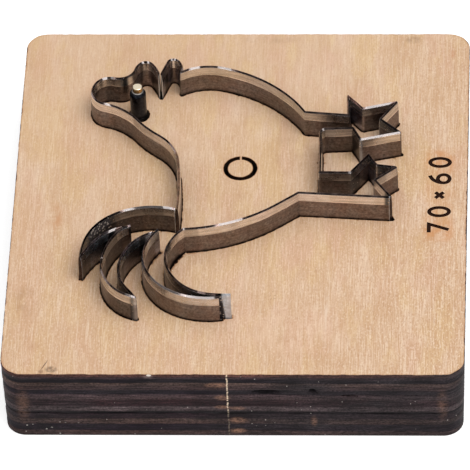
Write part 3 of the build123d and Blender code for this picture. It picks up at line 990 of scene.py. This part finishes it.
# Steel rules
# Ten strips of hardened steel rule, bent cold along the figure and pressed into the slots down to the
# underside. The flanks keep their dark rolled skin, and both bevels are ground bright and honed to an edge.
# Ends meet in a mitre, or one is ground to fit the other's face. Notches straddle the board's bridges.

# Each mitre, where one rule's finish meets another's start: how far past the corner it is cut flat, and the
# gap that is left between the two
mitres = [
    ("back_rule", "chest_rule", -0.1, 0.2),
    ("chest_rule", "upper_foot_rule", 0.3, 0.02),
    ("upper_foot_rule", "leg_gap_rule", 0.05, 0.05),
    ("leg_gap_rule", "lower_foot_rule", 0.3, 0.02),
    ("lower_foot_rule", "belly_rule", -0.2, 0.12),
    ("top_feather_inner_rule", "top_feather_outer_rule", 0.2, 0.06),
]
# Each end that is ground to fit another rule's face (0 start, 1 finish)
butts = {
    ("middle_feather_rule", 0): "low_feather_rule",
    ("top_feather_inner_rule", 0): "middle_feather_rule",
    ("top_feather_outer_rule", 1): "back_rule",
}
# A plain end stops at its route's end, or so many millimetres past it
cut_back = {("low_feather_rule", 1): -0.35}
# Ends ground back to bare steel: the end, as a share of the rule's length, and for how many millimetres
bare_ends = {
    "belly_rule": [(1, 1.85), (0, 0.16)],
    "top_feather_outer_rule": [(1, 0.14)],
    "top_feather_inner_rule": [(1, 0.18)],
}
# The cut faces that were left bright. All the others are black with oil
bright_ends = {("back_rule", 1), ("chest_rule", 0), ("belly_rule", 1)}
# How bright the steel is painted along each rule: partly where oil, soot or wear changed it, and partly painted
# reflection and shade. Where each stretch starts, in millimetres, and the brightness of the bevel and of the
# flank, where 1 is plain steel. The sides that face the front are marked in full, and those that face the back a
# quarter as much
tone_steps = {
    "back_rule": [
        (14, 0.9, 0.55), (17, 1, 1), (24, 0.84, 0.95), (30, 1.18, 0.9), (36, 1.3, 1.1), (41, 1.15, 0.8),
        (46.5, 0.75, 0.5), (49.4, 0.35, 0.8), (51, 1, 1.4), (53.8, 1.5, 1.6), (55.3, 0.65, 1.1), (57, 1.2, 1.5),
        (58.5, 0.8, 0.8), (60, 1.1, 0.5), (62, 1, 1),
    ],
    "chest_rule": [
        (-1, 0.85, 1.9), (1.4, 0.8, 0.5), (3, 0.95, 2.2), (4.5, 1.7, 1.3), (6, 0.75, 1.8), (7.5, 0.7, 0.35),
        (10.2, 1, 1), (11.5, 1.18, 1.12), (24, 1, 1), (25, 0.92, 0.87), (41, 1, 1), (43.3, 0.9, 0.7),
        (46.3, 1.5, 0.8), (50, 1, 1),
    ],
    "upper_foot_rule": [
        (-1, 1.2, 1.8), (5.8, 0.95, 2.2), (10.2, 0.82, 0.7), (17, 1.15, 1.1), (22, 1, 1), (22.7, 0.29, 0.4),
        (30, 1, 1),
    ],
    "leg_gap_rule": [
        (-1, 1.28, 1), (5.5, 1, 0.85), (8, 0.8, 0.75), (9.4, 0.49, 0.49), (11.6, 0.74, 0.66), (17.3, 1, 1),
        (18.5, 0.95, 0.85), (29.8, 0.65, 0.5), (35.7, 0.55, 0.36), (38.6, 0.36, 0.9), (43, 1, 1),
    ],
    "lower_foot_rule": [
        (-1, 1.1, 2.5), (3.4, 0.3, 0.4), (7.1, 1, 1), (10, 0.72, 0.9), (12.4, 1.15, 1.1), (16.5, 1, 1),
        (17, 0.25, 1), (19, 1, 1),
    ],
    "belly_rule": [
        (-1, 0.25, 0.9), (1, 1.42, 1.22), (12, 1.62, 1.3), (18.1, 1.42, 1.1), (31, 1.42, 1.22), (40, 1, 1),
        (42.8, 1.3, 1.3), (44.3, 1, 1), (47.2, 0.22, 0.95), (50, 1, 1), (53, 0.8, 1), (57.7, 0.7, 0.7),
        (62, 0.8, 0.6), (66, 1, 1), (67.2, 0.15, 0.15), (69.2, 1, 1),
    ],
    "low_feather_rule": [
        (-1, 3, 2.4), (1.5, 1.8, 1.45), (4.5, 1.1, 1.7), (7, 1, 1), (9, 2.4, 1.7), (12, 1.28, 1.1), (18, 0.88, 1),
        (21, 1.08, 1.1), (27, 1.28, 1.25), (30, 1, 1),
    ],
    "middle_feather_rule": [
        (-1, 2.2, 0.8), (1.3, 0.45, 0.5), (2.9, 2.6, 1.5), (8.8, 1.3, 0.8), (10.3, 0.9, 0.9), (14, 1.2, 1),
        (16.5, 0.7, 0.4), (19.5, 0.3, 0.6), (21, 1, 1), (21.7, 0.35, 0.2), (22.5, 1, 0.7), (28, 0.8, 0.85),
        (34, 0.83, 1), (36.5, 0.55, 0.55), (42.5, 1, 0.42), (44, 2.2, 0.7), (45.4, 0.4, 0.7), (47, 1, 1),
    ],
    "top_feather_inner_rule": [
        (-1, 1.26, 0.43), (1.4, 0.3, 0.3), (3, 2.5, 0.3), (4.4, 3, 1.9), (8.8, 1.65, 1.2), (10.5, 0.9, 0.7),
        (14, 1, 1),
    ],
    "top_feather_outer_rule": [
        (-1, 0.55, 0.16), (3.8, 0.3, 0.16), (4.9, 0.1, 0.15), (12, 0.28, 0.25), (13.2, 0.5, 0.45),
        (14.4, 0.72, 0.48), (19.5, 0.58, 0.6), (24, 0.95, 0.5), (26.5, 1, 1),
    ],
}
# Short lengths of the honed edge painted white as highlights: from and to in millimetres, and how white
painted_glints = {
    "back_rule": [(36, 36.9, 1), (45.9, 46.9, 1), (47.6, 48.1, 0.5), (56, 56.4, 1), (57.2, 57.6, 1)],
    "chest_rule": [(5, 5.3, 1), (5.7, 6, 1), (6.5, 6.7, 0.6), (12.2, 14.2, 0.9), (17.8, 20.6, 0.5)],
    "upper_foot_rule": [(10.8, 16, 0.6)],
    "leg_gap_rule": [(0.2, 7.8, 0.6), (17.4, 17.8, 0.8), (35.4, 35.9, 0.5)],
    "belly_rule": [(31.2, 35.8, 0.7), (42.6, 42.9, 1)],
    "low_feather_rule": [(14, 23, 0.25), (23, 28.6, 0.7)],
    "middle_feather_rule": [(0, 0.4, 0.5), (35.1, 35.3, 0.9), (22.2, 23.6, 0.3)],
    "top_feather_inner_rule": [(1.3, 3, 0.9)],
    "top_feather_outer_rule": [(15.9, 17.9, 0.8), (18, 24, 0.2), (24, 25.9, 0.85)],
}
# Bends whose outer side is painted bright, partly steel scraped bare and partly painted highlight: millimetres
# along the rule, and how bright
scraped_and_highlit_bends = {
    "leg_gap_rule": [(8, 0.4), (17.7, 0.25)],
    "upper_foot_rule": [(22.7, 0.2)],
    "lower_foot_rule": [(12.4, 0.25)],
    "middle_feather_rule": [(21.6, 0.3)],
}
joint_gap = 0.02
# How bright a plain bend's outer side is painted, as bare steel and painted highlight, how far a scrape reaches
# each way, and over what lengths the marks fade
plain_bend, scrape_half = 0.05, 1.5
tone_fade, glint_fade, bare_fade = 0.25, 0.2, 0.15
# Notches clear the bridges, and the profile narrows from the bevel's foot to the edge
notch_half, notch_top = bridge_half + 0.3, bridge_top + 0.3
bevel_foot, hone_foot, edge_height = 21.15, 22.94, 23.3
half_at = ([0, bevel_foot, hone_foot, edge_height], [rule_half, rule_half, 0.24, 0.025])
profile_heights = np.array([0, 11.6, 16.6, 17.3, 19.2, 21, bevel_foot, 21.3, 22.2, 22.86, hone_foot, edge_height])
profile_halves = np.interp(profile_heights, *half_at)
profile_across = np.concatenate([profile_halves, -profile_halves[::-1]])
profile_up = np.concatenate([profile_heights, profile_heights[::-1]])


def leaving(name, end):
    """The direction along a rule away from one of its ends, and the place of that end."""
    places, angles, lengths = runs_of[name][-end]
    return unit(angles[-end] + end * math.pi), places[-end]


def end_reach(name, end):
    """How far each line of the profile reaches past a rule's end, and the ridge between two cuts, if any.

    A cut is a plane square to a direction d at a distance c past the corner. A line at u across meets it
    where reach times (outwards . d) plus u times (across . d) is c, and stops at the nearer of its cuts.
    A mitre's first cut halves the corner between two rules, and its second cuts the tip flat. A butt end's
    line reaches to half the other rule's thickness from its centre.
    """
    own, place = leaving(name, end)
    side = left_of(own) * (-1 if end else 1)
    for first, second, flat, gap in mitres:
        if name != (first if end else second):
            continue
        far = leaving(second if end else first, 1 - end)[0]
        waste, tip = one_long(far - own), one_long(-own - far)

        def cut_at(across):
            halved = (-gap / 2 - across * (side @ waste)) / (-own @ waste)
            return np.minimum(halved, (flat - across * (side @ tip)) / (-own @ tip))

        ridge = np.clip((flat * tip - gap / 2 * waste) @ side, -profile_halves, profile_halves)
        return cut_at(profile_across), (ridge, cut_at(ridge))
    if (name, end) in butts:
        reach = np.linspace(-2.5, 2.5, 1001)
        spots = place - reach[:, None, None] * own + profile_across[:, None] * side
        gap = from_line(spots.reshape(-1, 2), lines_of[butts[name, end]])[0].reshape(spots.shape[:2])
        return reach[np.argmax(gap < rule_half + joint_gap, axis=0)], None
    return np.full(len(profile_across), cut_back.get((name, end), 0)), None


def bent_rule(name):
    """The profile carried along a rule's route: columns go up its left side, over the edge and down its right.

    A column at u across follows the route at that distance, and a row lies square to the route. At sharp
    corners the rows fan out round the outer side. The lowest columns rise over each bridge.
    """
    total = sum(run[2][-1] for run in runs_of[name])
    crossings = [share * total for share in bridges.get(name, ())]
    edges = np.array([place + side for place in crossings for side in (-notch_half, notch_half)])
    edges = np.concatenate([edges - 0.01, edges + 0.01])
    runs, before = [], 0
    for places, angles, lengths in runs_of[name]:
        ask = edges - before
        fine = np.linspace(0, lengths[-1], int(lengths[-1] / 0.2) + 2)
        station = np.unique(np.concatenate([fine, ask[(ask > 0) & (ask < lengths[-1])]]))
        runs.append((
            beside((places, angles, lengths), station, np.zeros(len(station))),
            np.interp(station, lengths, angles), station,
        ))
        before += lengths[-1]
    start_reach, start_ridge = end_reach(name, 0)
    finish_reach, finish_ridge = end_reach(name, 1)
    rows, stations, corners = side_lines(
        runs, profile_across, start_reach, finish_reach, nose_reach=0.8 if name == "middle_feather_rule" else 0.3,
    )
    notched = np.zeros(len(stations), bool)
    for place in crossings:
        notched |= np.abs(stations - place) < notch_half
    columns = len(profile_across)
    up = np.tile(profile_up, (len(rows), 1))
    up[notched, 0] = up[notched, -1] = notch_top
    shape = np.concatenate([rows, up[..., None]], -1).reshape(-1, 3)
    grid = np.arange(len(rows) * columns).reshape(len(rows), columns)
    walls = quads(grid[:-1], grid[1:])[:, [0, 3, 2, 1]]
    half = columns // 2
    # The outer side of each bend is painted bright: scraped bare steel, and partly painted highlight
    bright = np.full(len(stations), plain_bend)
    for place, shine in scraped_and_highlit_bends.get(name, []):
        bright[np.abs(stations - place) < scrape_half] = shine
    nose = np.clip(corners, 0, 1) * bright[:, None]
    narrower = np.interp(profile_up, [board_top, edge_height], [0.65, 1])
    for share, long in bare_ends.get(name, []):
        from_end = np.abs(stations - share * stations[-1])
        nose = np.maximum(nose, np.clip((long * narrower - from_end[:, None]) / bare_fade, 0, 1))
    onwards = np.gradient(rows, axis=0)
    backwards = onwards[..., 0] / np.maximum(np.hypot(onwards[..., 0], onwards[..., 1]), 1e-6)
    backwards = backwards * np.where(np.arange(columns) < half, 1, -1)
    marked = (1 - 0.75 * np.clip(2 * backwards, 0, 1)).ravel()
    starts, *tones = np.array(tone_steps[name]).T
    bevel_tone, flank_tone = (
        1 + marked * np.repeat(np.interp(
            stations, (starts[:, None] + (-tone_fade, tone_fade)).ravel(), np.append(1, np.repeat(steps, 2))[:-1],
        ) - 1, columns) for steps in tones
    )
    # The honed edge is painted white over each glint: painted highlights
    painted_glint = 0 * marked
    for low, high, white in painted_glints.get(name, []):
        inside = np.clip(0.5 + np.minimum(stations - low, high - stations) / glint_fade, 0, 1)[:, None]
        painted_glint = np.maximum(painted_glint, (white * inside * (profile_up >= hone_foot)).ravel())
    carried = {
        "along": np.repeat(stations, columns) * MM, "nose": nose.ravel(), "bevel_tone": bevel_tone,
        "flank_tone": flank_tone, "painted_glint": painted_glint, "seam": 0 * marked,
    }
    caps = []
    for end, (row, run, ridge) in enumerate(((grid[0], runs[0], start_ridge), (grid[-1], runs[-1], finish_ridge))):
        left, right = row[:half], row[half:][::-1]
        if ridge is None:
            cap = np.stack([left[:-1], left[1:], right[1:], right[:-1]], -1)
        else:
            place = run[2][-1] + ridge[1] if end else -ridge[1]
            middle = len(shape) + np.arange(half)
            shape = np.vstack([shape, np.column_stack([beside(run, place, ridge[0]), profile_heights])])
            on_ridge = {"along": carried["along"][-end], "bevel_tone": 1, "flank_tone": 1, "seam": 1}
            for title, values in carried.items():
                carried[title] = np.append(values, np.full(half, on_ridge.get(title, 0)))
            cap = np.vstack([
                np.stack([left[:-1], left[1:], middle[1:], middle[:-1]], -1),
                np.stack([middle[:-1], middle[1:], right[1:], right[:-1]], -1),
                [[left[0], middle[0], right[0], left[0]], [right[-1], middle[-1], left[-1], right[-1]]],
            ])
        if not end:
            cap = np.where(cap[:, 3:] == cap[:, :1], cap[:, [2, 1, 0, 2]], cap[:, ::-1])
        caps.append(cap)
    kinds = np.concatenate([np.zeros(len(walls), int)] + [
        np.full(len(cap), 1 if (name, end) in bright_ends else 2) for end, cap in enumerate(caps)
    ])
    return make_piece(
        "bent_" + name, shape, np.vstack([walls, *caps]), kinds, carried, sharp_from=24, close_up=0.0008,
    )


def mix_of(share, first, second):
    """A blend of two numbers by a share from 0 to 1, the first of which is a wire."""
    return add_node(first.tree, "ShaderNodeMix", {0: share, 2: first, 3: second}, 0)


rule_pieces = [bent_rule(name) for name in routes]

# Shared by ground and cut steel: fine lines that follow the way the wheel ran, and hazy smears of oil
ground_lines, place, line_scale, haze_scale = new_group("ground_lines", Lines=9000, Haze=500)
close_group(
    ground_lines, Lines=noise_of(place, line_scale, 3, 0.6, (0.02, 1, 1)),
    Haze=noise_of(place, haze_scale, 4, 0.6),
)

# Rolled flanks, ground bevels and honed edges, told apart by height
rolled, place, (x, _, z) = new_finish("rolled_and_ground_steel")
station, nose, bevel_tone, flank_tone, painted_glint = (
    attribute_of(place, name) for name in ("along", "nose", "bevel_tone", "flank_tone", "painted_glint")
)
face_place = add_node(place.tree, "ShaderNodeCombineXYZ", {"X": station, "Y": z, "Z": x * 0.05}, "Vector")
lines, haze = use_group(ground_lines, ("Lines", "Haze"), face_place, Lines=9000, Haze=420)
bevel_line, hone_line = bevel_foot * MM, hone_foot * MM
wavy_z = z + (noise_of(face_place, 260, 3, stretch=(1, 0, 0)) * 0.00022 - 0.00011)
on_bevel = range_of(wavy_z, bevel_line - 0.00002, bevel_line + 0.00004)
on_hone = range_of(z, hone_line + 0.00001, hone_line + 0.00004)
tone_here = mix_of(on_bevel, flank_tone, bevel_tone)
# Where the tone is far from plain steel, darker or brighter, the steel turns from warm grey to a cooler, neutral
# tone
# with pale specks: oil, dust and painted shade where darker, and painted reflection where brighter
cold = math_of("ADD", range_of(tone_here, 1.2, 2.2), range_of(tone_here, 0.55, 0.3), use_clamp=True)
# Where oil and dust lie thickest, at the darkest tone, the steel no longer mirrors
caked = range_of(tone_here, 0.2, 0.12) * range_of(z, hone_line + 0.00002, hone_line)
rolled_lines = noise_of(face_place, 3000, 3, 0.6, (0.06, 1, 1))
flank_grey = line_of(rolled_lines, 0.3, 0.7, 0.13, 0.2) * line_of(haze, 0.3, 0.7, 0.85, 1.15)
flank_grey = flank_grey * line_of(noise_of(place, 2100, 4, 0.65), 0.3, 0.7, 0.55, 1.45)
# The flank is painted darker over its lowest 0.7 mm above the board: painted shade where the steel meets the wood
flank_grey = flank_grey * range_of(z, board_top * MM, board_top * MM + 0.0007, 0.45, 1)
grinding = noise_of(face_place, 2600, stretch=(0.03, 1, 1))
foot_line = range_of(wavy_z, bevel_line + 0.0002, bevel_line + 0.00014) * range_of(grinding, 0.42, 0.56, 0, 0.5)
bevel_grey = line_of(lines, 0.3, 0.7, 0.46, 0.66) * line_of(haze, 0.3, 0.7, 0.86, 1.1)
bevel_grey = bevel_grey * line_of(grinding, 0.34, 0.66, 0.82, 1.16) * (foot_line + 1)
grey = math_of("MINIMUM", mix_of(on_bevel, flank_grey, bevel_grey) * tone_here, 0.95)
honed_grey = line_of(noise_of(face_place, 520, 3, 0.55, (1, 0, 0)), 0.44, 0.6, 0.07, 0.22)
colour = grey_of(mix_of(on_hone, grey, honed_grey * math_of("MINIMUM", bevel_tone, 1)))
skin_tint = ramp_of(haze, [(0.32, (1.17, 0.905, 0.85, 1)), (0.68, (1.03, 0.93, 0.92, 1))])
for share, cast in (
    (1, blend_of(on_bevel, skin_tint, (1.02, 0.97, 0.95, 1))), (cold, (0.9, 1.02, 1.2, 1)),
    (caked, (0.85, 0.62, 0.55, 1)), (on_hone, (1.25, 0.92, 0.84, 1)),
):
    colour = blend_of(share, colour, cast, "MULTIPLY")
# Bends and ground ends are painted pale grey: bare steel, and at the bends partly painted highlight
bare_and_highlit = nose * range_of(haze, 0.3, 0.6, 0.6, 1)
dust = use_group(
    specks, "Mask", place, Cells=1900,
    Share=cold * 0.25 + caked * 0.25 + 0.3, Size=cold * 0.08 + caked * 0.14 + 0.16,
)
# The glints are painted white highlights on the honed edge
colour = coats(
    colour, (bare_and_highlit, (214, 216, 220)), (painted_glint, (255, 246, 244)), (dust * (cold * 0.7 + 0.2), (190, 176, 164)),
)
bare_and_highlit = math_of("MAXIMUM", bare_and_highlit, painted_glint)
roughness = range_of(haze, 0.3, 0.7, 0.28, 0.42)
for share, rough in (
    (bare_and_highlit, 0.5), (on_bevel, range_of(haze, 0.3, 0.7, 0.22, 0.32)), (on_hone, 0.07), (painted_glint, 0.4), (caked, 0.8),
):
    roughness = mix_of(share, roughness, rough)
shade(colour, roughness, lines, 0.00001, 0.5, Metallic=math_of("MAXIMUM", bare_and_highlit, caked) * -0.85 + 1)

# Cut and ground ends: bare grey steel with the marks of the wheel
cut_steel, place, _ = new_finish("cut_steel")
lines, haze = use_group(ground_lines, ("Lines", "Haze"), place, Lines=5000, Haze=900)
colour = ramp_of(haze, [(0.3, (186, 184, 182)), (0.7, (216, 214, 212))])
colour = blend_of(range_of(attribute_of(place, "seam"), 0.35, 0.7), colour, (14, 12, 12))
shade(colour, range_of(lines, 0.3, 0.7, 0.35, 0.5), lines, 0.00001, 0.5, Metallic=0.5)

oiled_end, place, _ = new_finish("oiled_end_steel")
lines, haze = use_group(ground_lines, ("Lines", "Haze"), place, Lines=4000, Haze=1400)
colour = ramp_of(haze, [(0.3, (44, 32, 28)), (0.6, (78, 62, 56)), (0.75, (120, 106, 98))])
shade(colour, range_of(lines, 0.3, 0.7, 0.4, 0.6), lines, 0.00001, 0.5, Metallic=0.8)

for name, piece in zip(routes, rule_pieces):
    for finish in (rolled, cut_steel, oiled_end):
        piece.data.materials.append(finish)
    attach(piece, "die")
    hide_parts(name)


# Eye punch
# A turned tube of hardened steel, blackened, with a wide body pressed into the board and a narrow nose
# that is bevelled from the outside to a sharp rim. Its bore guides the pin, and a wider chamber holds the spring.
def turned(name, profile, steps=64, closed=True):
    """A profile of radius and height carried round the eye's axis.

    A point at radius r and height z goes to the centre plus r times the cosine and sine of the angle.
    An open profile starts and ends on the axis, where its rows close to a point.
    """
    profile = np.array(profile, float)
    around = eye_centre + profile[:, None, :1] * unit(np.arange(steps) * 2 * math.pi / steps)
    up = np.broadcast_to(profile[:, None, 1:], (len(profile), steps, 1))
    shape = np.concatenate([around, up], -1).reshape(-1, 3)
    grid = np.arange(len(profile) * steps).reshape(len(profile), steps)
    faces = quads(grid, np.roll(grid, -1, 0)) if closed else quads(grid[:-1], grid[1:])
    return make_piece(name, shape, faces[:, [0, 3, 2, 1]], sharp_from=32, close_up=0.0008)


punch = turned("tube_punch", [
    (1.45, 0.12), (1.57, 0), (1.9, 0), (2, 0.1), (2, 8), (2, 17.08), (1.9, 17.2), (1.67, 17.2),
    (1.6, 17.27), (1.6, 20), (1.6, 22.55), (1.57, 22.92), (1.35, 23.22), (1.1, 23.52), (1.03, 23.6),
    (1, 23.6), (0.985, 23.58), (0.985, 20), (0.985, 16.2), (1.2, 16.2), (1.45, 16.2), (1.45, 12), (1.45, 6),
])
blackened, place, (_, _, z) = new_finish("blackened_punch_steel")
turning = noise_of(place, 9000, 3, 0.6, (0.15, 0.15, 1))
patches = noise_of(place, 1300, 4, 0.6)
# The tube is painted near black at its foot, just above the board, and in patches a little higher
darker_foot = math_of("MAXIMUM", range_of(z, 0.01745, 0.0172), range_of(z, 0.0182, 0.0172) * patches)
colour = coats(
    ramp_of(patches, [(0.3, (30, 31, 36)), (0.6, (54, 56, 64)), (0.75, (96, 98, 102))]),
    # The sharp rim at the top is painted pale grey: a painted highlight on the edge
    (darker_foot, (30, 25, 22)), (range_of(z, 0.0234, 0.0235) * 0.85, (206, 200, 194)),
)
shade(colour, range_of(patches, 0.3, 0.7, 0.25, 0.45), turning, 0.00002, 0.6, Metallic=1)
punch.data.materials.append(blackened)
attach(punch, "die")
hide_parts("eye_punch")


# Punch plug
# A short turned disc pressed into the bottom of the spring chamber, faced on the lathe, with a small
# centre dimple left by the drill.
plug = turned("chamber_plug", [
    (0, 0.62), (0.16, 0.46), (0.28, 0.4), (1.3, 0.4), (1.44, 0.54), (1.44, 1.2), (1.44, 1.88), (1.32, 2),
    (0.8, 2), (0, 2),
], closed=False)
faced, place, _ = new_finish("faced_plug_steel")
from_axis = add_node(
    place.tree, "ShaderNodeVectorMath", {0: place, 1: (*(eye_centre * MM), 0)}, "Vector", operation="SUBTRACT",
)
radius = length_of(stretched(from_axis, (1, 1, 0)))
rings = noise_of(add_node(place.tree, "ShaderNodeCombineXYZ", {"X": radius}, "Vector"), 16000, 2, 0.6)
patches = noise_of(place, 1500, 3, 0.6)
colour = ramp_of(patches, [(0.3, (112, 106, 100)), (0.7, (158, 152, 145))])
shade(colour, range_of(patches, 0.3, 0.7, 0.3, 0.5), rings, 0.00002, 0.7, Metallic=1)
plug.data.materials.append(faced)
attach(plug, "die")
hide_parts("punch_plug")


# Ejector pin and spring
# A turned brass pin slides in the punch's bore and pushes the cut dot out. Its collar stops it under the
# chamber's roof, and a wound steel spring with closed ends holds it up from the plug.
pin = turned("brass_pin", [
    (0, 15.38), (1.25, 15.38), (1.35, 15.48), (1.35, 16.08), (1.25, 16.18), (0.98, 16.18), (0.935, 16.23),
    (0.935, 19), (0.935, 22.5), (0.935, 24.48), (0.915, 24.53), (0.815, 24.6), (0.4, 24.6), (0, 24.6),
], closed=False)
brass, place, (_, _, z) = new_finish("turned_brass")
turning = noise_of(place, 9000, 3, 0.6, (0.1, 0.1, 1))
tarnish = noise_of(place, 1800, 4, 0.6)
colour = ramp_of(tarnish, [(0.3, (150, 118, 74)), (0.55, (190, 158, 108)), (0.75, (212, 184, 134))])
# The pin's flat top is painted pale cream: a painted highlight where it faces up
colour = blend_of(range_of(z, 0.02451, 0.02456), colour, (255, 240, 214))
shade(colour, range_of(tarnish, 0.3, 0.7, 0.25, 0.45), turning, 0.00002, 0.6, Metallic=1)
pin.data.materials.append(brass)
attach(pin, "ejector")
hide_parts("ejector_pin")

spring_low, spring_high = 2.17, 15.21
spring_radius, wire_radius, spring_turns = 1.1, 0.15, 9


def wound_spring(name, steps=28, sides=10):
    """A round wire carried along a helix whose first and last turns lie nearly flat.

    At angle a the wire's centre is at the radius times its cosine and sine, and its height follows the
    share of the way eased at both ends. The wire's circle lies across the helix's heading.
    """
    count = spring_turns * steps + 1
    share = np.linspace(0, 1, count)
    angle = share * spring_turns * 2 * math.pi
    outward = np.stack([np.cos(angle), np.sin(angle), 0 * angle], 1)
    closed_share = 0.9 / spring_turns
    rise = np.interp(share, [0, closed_share, 1 - closed_share, 1], [0, 0.0245, 0.9755, 1])
    centre = (*eye_centre, spring_low) + spring_radius * outward
    centre[:, 2] += (spring_high - spring_low) * rise
    heading = np.gradient(centre, axis=0)
    heading /= np.linalg.norm(heading, axis=1)[:, None]
    turn = (np.arange(sides) * 2 * math.pi / sides)[:, None]
    ring = np.cos(turn) * outward[:, None] + np.sin(turn) * np.cross(heading, outward)[:, None]
    shape = np.vstack([(centre[:, None] + wire_radius * ring).reshape(-1, 3), centre[:1], centre[-1:]])
    grid = np.arange(count * sides).reshape(count, sides)
    first, last = np.full((2, sides), [[count * sides], [count * sides + 1]])
    start = np.stack([first, grid[0], np.roll(grid[0], -1), first], -1)
    finish = np.stack([last, np.roll(grid[-1], -1), grid[-1], last], -1)
    return make_piece(name, shape, np.vstack([quads(grid[:-1], grid[1:]), start, finish]), sharp_from=50)


spring = wound_spring("wound_spring")
spring_steel, place, _ = new_finish("spring_wire")
drawn_lines = noise_of(place, 5200, 3, 0.6)
colour = ramp_of(noise_of(place, 900, 3, 0.6), [(0.3, (120, 116, 112)), (0.7, (172, 168, 162))])
shade(colour, range_of(drawn_lines, 0.3, 0.7, 0.25, 0.4), drawn_lines, 0.00001, 0.5, Metallic=1)
spring.data.materials.append(spring_steel)
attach(spring, "die")
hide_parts("ejector_spring")
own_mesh(spring)
